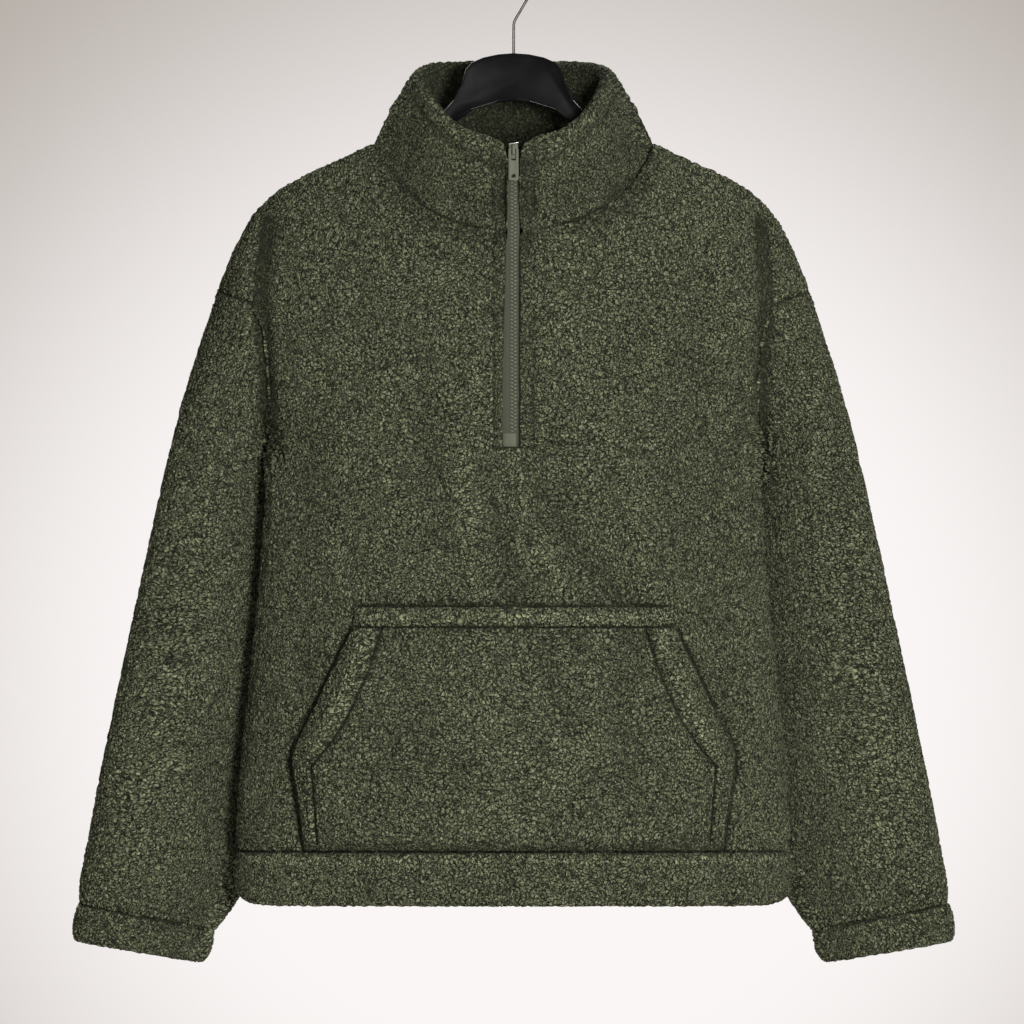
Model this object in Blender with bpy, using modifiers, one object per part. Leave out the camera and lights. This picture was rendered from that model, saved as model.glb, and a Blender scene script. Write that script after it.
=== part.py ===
# Half-zip fleece pullover hanging on a plastic hanger with a wire hook.
# Design sizes are millimetres: X to the wearer's left as seen from the front, Y to the back, Z up.
# The origin is the inside of the hook's top, where a rail carries it.

import math
from collections import namedtuple

import bmesh
import bpy
import numpy as np

MM = 0.001

# Cloth
FLEECE = 4.5            # body and sleeve wall, pile included
DOUBLED = 7.0           # hem band and cuffs, two layers
COLLAR_HALF = 6.5       # half of the doubled collar's wall
SEAM_GAP = 0.15         # each piece stops this far from the seam's middle
ARMPIT_FOLD = 6.5       # wall straight up over the fold between body and sleeve

# Levels down the centre front
NECK_FRONT_Z = -254.0
SLIT_END_Z = -450.0
HEM_SEAM_Z = -822.0
HEM_END_Z = -872.0

# Zip
SLIT_HALF = 6.0
TAPE_HALF = 15.0
TAPE_CENTRE_HALF = 5.5
TAPE_THICK = 1.0
TAPE_GAP = 0.45

# Rows and columns of the cloth grids
NECK_FRONT_STEPS = 6
SHOULDER_STEPS = 8
ARMHOLE_SHARES = (0, 0.022, 0.06, 0.12, 0.22, 0.35, 0.49, 0.63, 0.76, 0.88, 1)
BODY_LEVELS = (-450, -458, -487, -524, -561, -598, -616, -645, -674, -703, -733, -760, -786, -810, -822)
SLEEVE_ROWS = 17
SEAM_FADE = 0.16        # share of the sleeve over which the armhole's shape dies away

# Torso below the armpit: half width, and the depths of its side, front and back
Torso = namedtuple("Torso", "z width side front back")
TORSO = (
    Torso(-435, 224, 16, -50, 45),
    Torso(-480, 227, 8, -51, 45),
    Torso(-545, 231, 4, -53, 46),
    Torso(-610, 237, 2, -55, 47),
    Torso(-680, 244, 1, -56, 47),
    Torso(-740, 250, 0, -55, 47),
    Torso(-785, 254, 0, -53, 46),
    Torso(-810, 255, 0, -51, 45),
    Torso(-822, 252, 0, -46, 41),
    Torso(-828, 256, 0, -51, 45),
    Torso(-848, 257, 0, -51, 45),
    Torso(-866, 256, 0, -49, 43),
    Torso(-872, 252, 0, -45, 39),
)
ROUNDNESS = 2.3         # superellipse power of the torso's section

# Shoulder ridge from the neck point to the end of the drop shoulder
Ridge = namedtuple("Ridge", "x y z")
RIDGE = (
    Ridge(130, 2, -171), Ridge(150, 1, -182), Ridge(176, 0, -193.5), Ridge(201, 0, -205),
    Ridge(221, 0, -217), Ridge(238, 1, -234), Ridge(252, 3, -259), Ridge(262, 4, -281),
    Ridge(271, 5, -304),
)

# Armhole seam from the shoulder end down to the armpit, front and back depths
Armhole = namedtuple("Armhole", "x z front back")
ARMHOLE = (
    Armhole(271, -304, 5, 5), Armhole(258, -310, -19, 26), Armhole(245, -317, -28, 36),
    Armhole(234, -328, -28, 41), Armhole(228.5, -352, -22, 42), Armhole(226, -382, -14, 40),
    Armhole(225, -408, -7, 36), Armhole(224.5, -426, 1, 30), Armhole(224, -435, 16, 16),
)

# Neck seam and the middle of the collar's rolled top, from centre front to centre back
Neck = namedtuple("Neck", "x y z top_x top_y top_z")
NECK = (
    Neck(6, -52, -254, 6, -53, -177),
    Neck(35, -51, -252, 24, -52, -173),
    Neck(63, -47, -245, 42, -49, -170),
    Neck(86, -40, -233, 58, -41, -160),
    Neck(102, -30, -216, 71, -28, -147),
    Neck(118, -15, -198, 82, -10, -130),
    Neck(130, 2, -171, 89, 9, -114),
    Neck(119, 22, -174, 85, 27, -106),
    Neck(96, 38, -179, 70, 42, -103),
    Neck(66, 46, -184, 47, 51, -102),
    Neck(34, 49, -187, 22, 54, -102),
    Neck(0, 50, -188, 0, 55, -102),
)

# Sleeve: its outer and inner edge and half its thickness, down from the armhole
Sleeve = namedtuple("Sleeve", "out_x out_z out_y in_x in_z in_y half")
SLEEVE = (
    Sleeve(271, -304, 5, 224, -435, 16, 30),
    Sleeve(284, -350, 3, 232.5, -452, 34, 27),
    Sleeve(299, -405, -3, 226, -480, 60, 28),
    Sleeve(314, -465, -8, 215, -524, 78, 29),
    Sleeve(328, -525, -11, 205, -576, 87, 30),
    Sleeve(345, -600, -12, 203, -649, 88, 30),
    Sleeve(363, -680, -12, 211, -725, 79, 29),
    Sleeve(380, -760, -10, 229, -798, 68, 27),
    Sleeve(392, -822, -8, 248, -853, 56, 25),
    Sleeve(398, -852, -6, 264, -880, 47, 23),
    Sleeve(398, -868, -4, 277, -896, 40, 20),
)
CUFF = (
    Sleeve(398, -868, -4, 277, -896, 40, 20),
    Sleeve(401, -874, -5, 277, -902, 42, 23),
    Sleeve(404, -886, -6, 279, -911, 43, 24),
    Sleeve(405, -898, -6, 283, -920, 43, 24),
    Sleeve(402, -905, -4, 290, -925, 40, 21),
)

# Large folds: a ridge (positive) or a trough along a line of the front or the back
Fold = namedtuple("Fold", "x0 z0 x1 z1 width height")
FRONT_FOLDS = (
    Fold(-49, -430, -10, -585, 17, 4.5), Fold(6, -480, 34, -590, 14, -5),
    Fold(44, -465, 72, -580, 16, 4.5), Fold(103, -540, 108, -590, 18, -5),
    Fold(116, -440, 132, -590, 20, 4.5), Fold(-120, -470, -150, -640, 26, -3),
    Fold(226, -250, 231, -318, 11, -7), Fold(-226, -250, -231, -318, 11, -7),
    Fold(-20, -660, -12, -780, 26, 3), Fold(150, -650, 185, -800, 24, -3),
    Fold(-98, -262, -120, -400, 24, -3), Fold(92, -280, 105, -400, 24, -3),
)
BACK_FOLDS = (
    Fold(-60, -430, -30, -640, 24, 5), Fold(52, -400, 78, -600, 22, -5),
    Fold(120, -470, 105, -740, 24, 4.5), Fold(-140, -380, -165, -620, 24, -4.5),
    Fold(0, -620, 12, -800, 30, 4), Fold(-90, -650, -108, -800, 22, -4),
    Fold(226, -250, 231, -318, 11, -6), Fold(-226, -250, -231, -318, 11, -6),
)

# Pocket: half width and how far its inside stands off the front, from top to hem seam
Pocket = namedtuple("Pocket", "z width stand_off")
POCKET = (
    Pocket(-598, 142, 0.5), Pocket(-602, 143, 1.5), Pocket(-615, 145, 3),
    Pocket(-619.5, 146.5, 3.8), Pocket(-645, 159, 8),
    Pocket(-674, 172, 10.5), Pocket(-703, 186, 11.5), Pocket(-731, 200, 10), Pocket(-740, 200, 9),
    Pocket(-762, 197, 8), Pocket(-790, 193, 6), Pocket(-812, 190, 2.5), Pocket(-820.5, 189, 0.5),
)
POCKET_BAND = 17.0
POCKET_ROLL = 2.0       # extra thickness of the turned bands
POCKET_COLUMNS = 12
POCKET_STAND = 1.0      # least distance off the front panel

# Hanger
HANGER_THICK = 11.0
HANGER_EDGE = 4.8
ARM_TIP_X = 212.0
ARM_REST_X = 176.0      # from here outwards the cloth lies on the arm
ARM_DEPTH = 20.0
ARM_CLEAR = 9.2         # from the shoulder ridge's top to the arm, across the wall
PLATE_TOP_Z = -88.0

# Hook
WIRE = 3.0
LOOP_RADIUS = 20.5      # of the wire's middle line
LOOP_RISE = 40.3        # loop centre above the bend
SOCKET_DEPTH = 12.0

# Slider and pull
PIVOT_Z = -177.0
BAR = 1.3               # the pull's top bar, square
PULL_WIDTH = 9.2
PULL_LENGTH = 30.0
BRIDGE_CLEAR = 2.6
SLIDER_WIDTH = 8.6
SLIDER_LENGTH = 14.5
SLIDER_THICK = 4.6


def smooth_at(keys, values, x):
    """A smooth curve through the table's values, read at x."""
    order = np.argsort(keys)
    keys = np.asarray(keys, float)[order]
    values = np.asarray(values, float)[order]
    slopes = np.gradient(values, keys)
    x = np.clip(x, keys[0], keys[-1])
    i = np.clip(np.searchsorted(keys, x) - 1, 0, len(keys) - 2)
    step = keys[i + 1] - keys[i]
    u = (x - keys[i]) / step
    return (
        (2 * u**3 - 3 * u**2 + 1) * values[i]
        + (u**3 - 2 * u**2 + u) * step * slopes[i]
        + (3 * u**2 - 2 * u**3) * values[i + 1]
        + (u**3 - u**2) * step * slopes[i + 1]
    )


def torso_at(z, field):
    return smooth_at([row.z for row in TORSO], [getattr(row, field) for row in TORSO], z)


def along(points, shares):
    """Points at the given shares of a smooth curve through the given ones."""
    points = np.asarray(points, float)
    lengths = np.concatenate([[0], np.cumsum(np.linalg.norm(np.diff(points, axis=0), axis=1))])
    fine = np.linspace(0, lengths[-1], 400)
    curve = np.stack([smooth_at(lengths, points[:, k], fine) for k in range(3)], axis=1)
    run = np.concatenate([[0], np.cumsum(np.linalg.norm(np.diff(curve, axis=0), axis=1))])
    run /= run[-1]
    return np.stack([np.interp(shares, run, curve[:, k]) for k in range(3)], axis=1)


def even(count):
    return np.linspace(0, 1, count + 1)


def fold_height(folds, x, z):
    """Sum of the folds at x, z: soft across and fading at both ends."""
    total = np.zeros(np.broadcast(x, z).shape)
    for fold in folds:
        dx, dz = fold.x1 - fold.x0, fold.z1 - fold.z0
        length = math.hypot(dx, dz)
        share = ((x - fold.x0) * dx + (z - fold.z0) * dz) / length**2
        across = ((x - fold.x0) * dz - (z - fold.z0) * dx) / length
        end = np.clip(np.minimum(share + 0.15, 1.15 - share) / 0.3, 0, 1)
        total += fold.height * np.exp(-((across / fold.width) ** 2)) * end**2 * (3 - 2 * end)
    return total


def section(z, z_side, face, shares):
    """Half a torso section from the middle to the side seam; z may fall towards the side."""
    fine = np.linspace(0, math.pi / 2, 200)
    width = torso_at(z_side, "width")
    side = torso_at(z_side, "side")
    depth = side - torso_at(z, face)
    x = width * np.sin(fine) ** (2 / ROUNDNESS)
    y = side - depth * np.cos(fine) ** (2 / ROUNDNESS)
    run = np.concatenate([[0], np.cumsum(np.hypot(np.diff(x), np.diff(y)))])
    run /= run[-1]
    x = np.interp(shares, run, x)
    y = np.interp(shares, run, y)
    level = z + (z_side - z) * (x / width) ** 2
    return np.stack([x, y, level], axis=1)


def boolean_sum(top, bottom, left, right, a, b, e, c):
    """Blend of four edges; a and b weigh top and bottom by row, e and c left and right by column."""
    a, b = a[:, None, None], b[:, None, None]
    e, c = e[None, :, None], c[None, :, None]
    return (
        a * top[None] + b * bottom[None] + e * left[:, None] + c * right[:, None]
        - a * e * top[0] - a * c * top[-1] - b * e * bottom[0] - b * c * bottom[-1]
    )


def chest_field(x, z, depth):
    """Depth of the cloth under the shoulder ridge, before it is fitted to its seams."""
    ridge = np.where(
        x < RIDGE[0].x, RIDGE[0].z, smooth_at([r.x for r in RIDGE], [r.z for r in RIDGE], x)
    )
    drop = np.maximum(ridge - z, 0)
    return depth * (0.2 + 0.8 * (1 - np.exp(-drop / 70)))


def upper_half(neck, face, middle_x, depth):
    """Half a panel from the neck and shoulder seams down to the armpit, middle to side."""
    shoulder = along([(r.x, r.y, r.z) for r in RIDGE], even(SHOULDER_STEPS))
    top = np.vstack([neck, shoulder[1:]])
    right = along([(a.x, getattr(a, face), a.z) for a in ARMHOLE], ARMHOLE_SHARES)
    shares = np.asarray(ARMHOLE_SHARES, float)
    left_z = neck[0][2] + (SLIT_END_Z - neck[0][2]) * shares
    left_y = neck[0][1] + (torso_at(SLIT_END_Z, face) - neck[0][1]) * shares
    left = np.stack([np.full(len(shares), middle_x), left_y, left_z], axis=1)
    bottom = section(SLIT_END_Z, ARMHOLE[-1].z, face, even(len(top) - 1))
    bottom[0][0] = middle_x
    run = np.concatenate([[0], np.cumsum(np.linalg.norm(np.diff(bottom, axis=0), axis=1))])
    s = run / run[-1]
    t = shares
    grid = boolean_sum(top, bottom, left, right, 1 - t, t, 1 - s, s)

    def rest(edge):
        wanted = np.zeros_like(edge)
        wanted[..., 1] = edge[..., 1] - chest_field(edge[..., 0], edge[..., 2], depth)
        return wanted

    fitted = boolean_sum(
        rest(top), rest(bottom), rest(left), rest(right), (1 - t) ** 25, t**2, (1 - s) ** 2, s**8
    )
    grid[..., 1] = chest_field(grid[..., 0], grid[..., 2], depth) + fitted[..., 1]
    return grid


def lower_half(upper, face, middle_x):
    """Half a panel from the armpit down to the hem seam."""
    shares = even(upper.shape[1] - 1)
    rows = []
    for level in BODY_LEVELS[1:]:
        fall = (level - SLIT_END_Z) / (HEM_SEAM_Z - SLIT_END_Z)
        side_z = level + (ARMHOLE[-1].z - SLIT_END_Z) * (1 - fall)
        row = section(level, side_z, face, shares)
        row[0][0] = middle_x
        rows.append(row)
    return np.vstack([upper, np.array(rows)])


def mirrored(grid):
    """The other half: X turned round, and the columns with it."""
    return grid[:, ::-1] * np.array([-1, 1, 1])


def add_folds(grid, folds, sign):
    """Move a body panel's points by its folds, fading out at the side seams."""
    x, z = grid[..., 0], grid[..., 2]
    edge = np.abs(x).max(axis=1, keepdims=True)
    fade = np.clip((edge - np.abs(x)) / 30, 0, 1)
    fade = np.where(z > ARMHOLE[3].z, np.clip((edge - np.abs(x)) / 18, 0, 1), fade)
    fade[-1] = 0
    fade[0] = 0
    grid[..., 1] += sign * fold_height(folds, x, z) * fade
    return grid


def front_grid():
    neck = np.array([(n.x, n.y, n.z) for n in NECK[: NECK_FRONT_STEPS + 1]], float)
    half = upper_half(neck, "front", SLIT_HALF, TORSO[0].front)
    half = lower_half(half, "front", SLIT_HALF)
    return add_folds(np.hstack([mirrored(half), half]), FRONT_FOLDS, -1)


def back_grid():
    neck = np.array([(n.x, n.y, n.z) for n in NECK[: NECK_FRONT_STEPS - 1: -1]], float)
    half = upper_half(neck, "back", 0.0, TORSO[0].back)
    half = lower_half(half, "back", 0.0)
    grid = np.hstack([mirrored(half), half[:, 1:]])
    return add_folds(grid, BACK_FOLDS, 1)[:, ::-1]


def tube_ring(row, count):
    """A flattened ring: outer edge, front, inner edge and back, as the sleeve hangs."""
    outer = np.array([row.out_x, row.out_y, row.out_z], float)
    inner = np.array([row.in_x, row.in_y, row.in_z], float)
    middle = (outer + inner) / 2
    long_half = (outer - inner) / 2
    down = np.array([0.25, 0, -1.0])
    short = np.cross(long_half, down)
    short *= row.half / np.linalg.norm(short)
    if short[1] > 0:
        short = -short
    ring = []
    for k in range(count):
        angle = 2 * math.pi * k / count
        u, v = math.cos(angle), math.sin(angle)
        u = math.copysign(abs(u) ** (2 / 2.4), u)
        v = math.copysign(abs(v) ** (2 / 2.4), v)
        ring.append(middle + long_half * u + short * v)
    return np.array(ring)


def tube_row(table, share):
    """One row of a tube's table, read at a share of its length."""
    keys = np.linspace(0, 1, len(table))
    return Sleeve(*[smooth_at(keys, [row[k] for row in table], share) for k in range(7)])


def armhole_ring():
    front = along([(a.x, a.front, a.z) for a in ARMHOLE], ARMHOLE_SHARES)
    back = along([(a.x, a.back, a.z) for a in ARMHOLE], ARMHOLE_SHARES)
    return np.vstack([front, back[-2:0:-1]])


def sleeve_grid():
    """Right-hand sleeve in the front view; columns run left to right as seen from outside."""
    seam = armhole_ring()
    count = len(seam)
    rows = []
    start = tube_ring(SLEEVE[0], count)
    for i in range(SLEEVE_ROWS + 1):
        share = i / SLEEVE_ROWS
        fade = max(0.0, 1 - share / SEAM_FADE) ** 2
        ring = tube_ring(tube_row(SLEEVE, share), count) + (seam - start) * fade
        rows.append(ring)
    return np.array(rows)[:, ::-1]


def cuff_grid():
    count = len(armhole_ring())
    return np.array([tube_ring(row, count) for row in CUFF])[:, ::-1]


def hem_grid(front, back):
    """Ring of the hem band, front then back, from the hem seam down."""
    top = np.vstack([front[-1], back[-1][1:-1]])
    rows = [top]
    for row in TORSO[9:]:
        ring = top.copy()
        scale = row.width / TORSO[8].width
        for k, point in enumerate(top):
            front_side = k < front.shape[1]
            wanted = row.front if front_side else row.back
            was = TORSO[8].front if front_side else TORSO[8].back
            ring[k] = (point[0] * scale, point[1] * wanted / was, row.z)
            corner = max(0.0, abs(ring[k][0]) - row.width + 16) / 16
            if row.z == HEM_END_Z:
                ring[k][2] += 9 * corner**2
            elif row.z < -860:
                ring[k][2] += 5 * corner**2
        rows.append(ring)
    return np.array(rows)


def shared_normals(pieces):
    """Outward normals of every grid point, averaged over all the pieces that meet there."""
    sums = {}
    for grid, closed, present in pieces.values():
        rows, cols = grid.shape[:2]
        for i in range(rows - 1):
            for j in range(cols if closed else cols - 1):
                if present is not None and not present[i][j]:
                    continue
                k = (j + 1) % cols
                a, b, c, d = grid[i, j], grid[i + 1, j], grid[i + 1, k], grid[i, k]
                normal = np.cross(c - a, d - b)
                normal /= max(np.linalg.norm(normal), 1e-9)
                for corner in (a, b, c, d):
                    key = tuple(np.round(corner, 2))
                    sums[key] = sums.get(key, 0) + normal
    normals = {}
    for name, (grid, closed, present) in pieces.items():
        field = np.zeros_like(grid)
        for i in range(grid.shape[0]):
            for j in range(grid.shape[1]):
                normal = sums.get(tuple(np.round(grid[i, j], 2)), np.array([0, 0, 1.0]))
                field[i, j] = normal / max(np.linalg.norm(normal), 1e-9)
        normals[name] = field
    return normals


def inside_of(grid, normals, thick):
    """The inner face of a wall; over the armpit's tight fold it lies straight above."""
    inner = grid - normals * thick
    armpit = np.array([ARMHOLE[-1].x, ARMHOLE[-1].front, ARMHOLE[-1].z], float)
    at_fold = np.linalg.norm(np.abs(grid) - np.abs(armpit), axis=-1) < 0.01
    inner[at_fold] = grid[at_fold] + np.array([0, 0, ARMPIT_FOLD])
    return inner


def seam_shift(grid, closed):
    """How far each edge point draws back into its own piece, to leave the gap at a seam."""
    shift = np.zeros_like(grid)

    def draw(edge, inner):
        step = inner - edge
        return SEAM_GAP * step / np.linalg.norm(step, axis=-1, keepdims=True)

    shift[0] += draw(grid[0], grid[1])
    shift[-1] += draw(grid[-1], grid[-2])
    if not closed:
        shift[:, 0] += draw(grid[:, 0], grid[:, 1])
        shift[:, -1] += draw(grid[:, -1], grid[:, -2])
    return shift


def material(name, colour, roughness, metallic=0.0):
    made = bpy.data.materials.get(name) or bpy.data.materials.new(name)
    made.use_nodes = True
    shader = made.node_tree.nodes["Principled BSDF"]
    shader.inputs["Base Color"].default_value = (*colour, 1)
    shader.inputs["Roughness"].default_value = roughness
    shader.inputs["Metallic"].default_value = metallic
    return made


def fleece():
    return material("olive_fleece", (0.062, 0.068, 0.038), 0.95)


def black_plastic():
    return material("black_plastic", (0.012, 0.012, 0.013), 0.42)


def zip_cloth():
    return material("zip_tape_olive", (0.075, 0.085, 0.048), 0.8)


def painted_metal():
    return material("painted_olive_metal", (0.12, 0.13, 0.085), 0.45, 0.3)


def dark_wire():
    return material("dark_chrome_wire", (0.10, 0.10, 0.10), 0.3, 1.0)


def place(name, mesh, finish, smooth_angle=50):
    made = bpy.data.objects.new(name, mesh)
    mesh.materials.append(finish)
    mesh.shade_smooth()
    mesh.set_sharp_from_angle(angle=math.radians(smooth_angle))
    bpy.data.collections["half_zip_pullover"].objects.link(made)
    return made


def split_quad(points):
    """A quad cut along its shorter diagonal, so both sides of a seam are cut alike."""
    a, b, c, d = points
    if (a.co - c.co).length <= (b.co - d.co).length:
        return (a, b, c), (a, c, d)
    return (a, b, d), (b, c, d)


def wall(name, outer, inner, finish, closed=False, present=None):
    """A closed wall between two grids of points, over the cells that are present."""
    bm = bmesh.new()
    rows, cols = outer.shape[:2]
    cell_cols = cols if closed else cols - 1
    made = {}

    def vert(side, i, j):
        j %= cols
        if (side, i, j) not in made:
            grid = outer if side == 0 else inner
            made[side, i, j] = bm.verts.new(grid[i, j] * MM)
        return made[side, i, j]

    def is_there(i, j):
        if closed:
            j %= cols
        inside = 0 <= i < rows - 1 and 0 <= j < cell_cols
        return inside and (present is None or present[i][j])

    def face(*corners):
        for triangle in split_quad([vert(*corner) for corner in corners]):
            bm.faces.new(triangle)

    for i in range(rows - 1):
        for j in range(cell_cols):
            if not is_there(i, j):
                continue
            face((0, i, j), (0, i + 1, j), (0, i + 1, j + 1), (0, i, j + 1))
            face((1, i, j), (1, i, j + 1), (1, i + 1, j + 1), (1, i + 1, j))
            if not is_there(i - 1, j):
                face((0, i, j), (0, i, j + 1), (1, i, j + 1), (1, i, j))
            if not is_there(i + 1, j):
                face((0, i + 1, j + 1), (0, i + 1, j), (1, i + 1, j), (1, i + 1, j + 1))
            if not is_there(i, j - 1):
                face((0, i + 1, j), (0, i, j), (1, i, j), (1, i + 1, j))
            if not is_there(i, j + 1):
                face((0, i, j + 1), (0, i + 1, j + 1), (1, i + 1, j + 1), (1, i, j + 1))
    mesh = bpy.data.meshes.new(name)
    bm.to_mesh(mesh)
    bm.free()
    return place(name, mesh, finish)


def on_grid(grid, columns, row, x):
    """The point at x on one row of a panel's grid, among the given columns."""
    line = grid[row, columns]
    return np.array([np.interp(x, line[:, 0], line[:, k]) for k in range(3)])


def on_panel(grid, x, z):
    """The point of the front panel's surface at x and z, below the armpit."""
    first = len(ARMHOLE_SHARES) - 1
    every = slice(None)
    levels = [on_grid(grid, every, row, x) for row in range(first, grid.shape[0])]
    heights = [point[2] for point in levels]
    return np.array([np.interp(-z, [-h for h in heights], [p[k] for p in levels]) for k in range(3)])


def build_body():
    front, back = front_grid(), back_grid()
    sleeve, cuff = sleeve_grid(), cuff_grid()
    hem = hem_grid(front, back)
    slit_rows = len(ARMHOLE_SHARES) - 1
    middle = front.shape[1] // 2 - 1
    cells = np.ones((front.shape[0] - 1, front.shape[1] - 1), bool)
    cells[:slit_rows, middle] = False
    pieces = {
        "front_panel": (front, False, cells),
        "back_panel": (back, False, None),
        "sleeve_right": (sleeve, True, None),
        "sleeve_left": (mirrored(sleeve), True, None),
        "cuff_right": (cuff, True, None),
        "cuff_left": (mirrored(cuff), True, None),
        "hem_band": (hem, True, None),
        "collar": (collar_rows()[:4], False, None),
    }
    normals = shared_normals(pieces)
    for name, (grid, closed, present) in pieces.items():
        if name == "collar":
            continue
        thick = np.full((len(grid), 1, 1), DOUBLED if name.startswith(("cuff", "hem")) else FLEECE)
        thick[0] = FLEECE
        shift = seam_shift(grid, closed)
        inner = inside_of(grid, normals[name], thick)
        wall(name, grid + shift, inner + shift, fleece(), closed, present)
    build_collar(normals["collar"][0])
    inner_front = front - normals["front_panel"] * FLEECE
    build_tape(inner_front, middle)
    build_pocket(front)


def collar_rows():
    """Outer face of the collar, from the neck seam up and over its rolled top, then down inside."""
    right = [np.array(n, float) for n in NECK]
    ring = [n * np.array([-1, 1, 1, -1, 1, 1]) for n in right] + right[-2::-1]
    seam = np.array([n[:3] for n in ring])
    top = np.array([n[3:] for n in ring])
    outward = top * np.array([1, 1, 0]) - np.array([0, 8.0, 0])
    outward[[0, -1], 0] = 0
    outward /= np.linalg.norm(outward, axis=1, keepdims=True)
    rise = top - seam
    rise /= np.linalg.norm(rise, axis=1, keepdims=True)
    across = outward - rise * (outward * rise).sum(axis=1, keepdims=True)
    across /= np.linalg.norm(across, axis=1, keepdims=True)
    rows = [seam]
    for share, swell in ((0.35, 2.0), (0.7, 2.5)):
        middle = seam - across * COLLAR_HALF + (top - seam + across * COLLAR_HALF) * share
        rows.append(middle + across * (COLLAR_HALF + swell))
    for angle in (0, 50, 90, 130, 180):
        turn = math.radians(angle)
        roll = across * math.cos(turn) + rise * math.sin(turn)
        rows.append(top + roll * (COLLAR_HALF + 1.2))
    for share in (0.66, 0.33):
        middle = seam - across * COLLAR_HALF + (top - seam + across * COLLAR_HALF) * share
        rows.append(middle - across * COLLAR_HALF)
    return np.array(rows)


def build_collar(seam_normals):
    """The doubled collar as one closed loop of its section, swept from slit edge to slit edge."""
    rows = collar_rows()
    foot = rows[0] - seam_normals * FLEECE
    loop = np.concatenate([rows, foot[None]])
    lift = loop[1] - loop[0]
    lift /= np.linalg.norm(lift, axis=1, keepdims=True)
    loop[0] += lift * SEAM_GAP
    loop[-1] += lift * SEAM_GAP
    bm = bmesh.new()
    verts = [[bm.verts.new(point * MM) for point in row] for row in loop]
    count = len(verts)
    for i in range(count):
        for j in range(loop.shape[1] - 1):
            k = (i + 1) % count
            for triangle in split_quad([verts[i][j], verts[k][j], verts[k][j + 1], verts[i][j + 1]]):
                bm.faces.new(triangle)
    bm.faces.new([row[0] for row in reversed(verts)])
    bm.faces.new([row[-1] for row in verts])
    bmesh.ops.triangulate(bm, faces=[f for f in bm.faces if len(f.verts) > 4])
    mesh = bpy.data.meshes.new("collar")
    bm.to_mesh(mesh)
    bm.free()
    place("collar", mesh, fleece())


def zip_depth():
    """Depth of the tape's face at the top of the collar, in the middle of its wall."""
    return NECK[0].top_y - 1.0


def build_tape(inner, middle):
    """Tape behind the slit, wide below the neck seam and narrow inside the collar's split."""
    rows = []
    wings = []
    column = slice(middle + 1, middle + 3)
    depth = inner[0, middle + 1][1] + TAPE_GAP
    for share in (0.96, 0.7, 0.4, 0.12):
        z = NECK_FRONT_Z + (NECK[0].top_z - NECK_FRONT_Z) * share
        y = depth + (zip_depth() - depth) * share
        rows.append([(x, y, z) for x in (-TAPE_HALF, -TAPE_CENTRE_HALF, TAPE_CENTRE_HALF, TAPE_HALF)])
        wings.append(False)
    slit_rows = len(ARMHOLE_SHARES)
    for i in (0, *range(2, slit_rows)):
        close = on_grid(inner, column, i, SLIT_HALF)
        wide = on_grid(inner, column, i, TAPE_HALF)
        drop = -6.0 if i == 0 else (-8.0 if i == slit_rows - 1 else 0.0)
        spare = TAPE_GAP * (2 if i == slit_rows - 1 else 1)
        y_close, y_wide = close[1] + spare, wide[1] + spare
        rows.append([
            (-TAPE_HALF, y_wide, wide[2] + drop), (-TAPE_CENTRE_HALF, y_close, close[2] + drop),
            (TAPE_CENTRE_HALF, y_close, close[2] + drop), (TAPE_HALF, y_wide, wide[2] + drop),
        ])
        wings.append(True)
    outer = np.array(rows)
    inner_face = outer + np.array([0, TAPE_THICK, 0])
    present = [[wings[i], True, wings[i]] for i in range(len(rows) - 1)]
    wall("zip_tape", outer, inner_face, zip_cloth(), present=present)


def pocket_columns(width):
    band = 1 - POCKET_BAND * 1.15 / width
    fold = band - 3.5 / width
    middle = np.linspace(-fold, fold, POCKET_COLUMNS - 3)
    return np.concatenate([[-1, -(1 + band) / 2 - 0.01, -band], middle, [band, (1 + band) / 2 + 0.01, 1]])


def build_pocket(front):
    """Pocket made from the front panel's own points, moved out, with thicker turned bands."""
    inner, outer = [], []
    for row in POCKET:
        shares = pocket_columns(row.width)
        inner_row, outer_row = [], []
        for k, share in enumerate(shares):
            point = on_panel(front, share * row.width, row.z)
            edge = min(1.0, (1 - abs(share)) * row.width / 26)
            sewn = row.z < -745 or row.z > -600
            swell = row.stand_off * (0.35 + 0.65 * edge) if not sewn else 0.5 + row.stand_off * edge
            in_band = k <= 2 or k >= len(shares) - 3 or -619 < row.z < -600
            rim = k in (0, len(shares) - 1) or row is POCKET[0]
            thick = FLEECE + (POCKET_ROLL if in_band and not rim else 0.0)
            lean = np.array([0.35 * share * abs(share), -1, 0])
            lean /= np.linalg.norm(lean)
            inner_row.append(point + lean * max(swell, POCKET_STAND))
            outer_row.append(point + lean * (max(swell, POCKET_STAND) + thick))
        inner.append(inner_row)
        outer.append(outer_row)
    wall("kangaroo_pocket", np.array(outer), np.array(inner), fleece())


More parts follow.
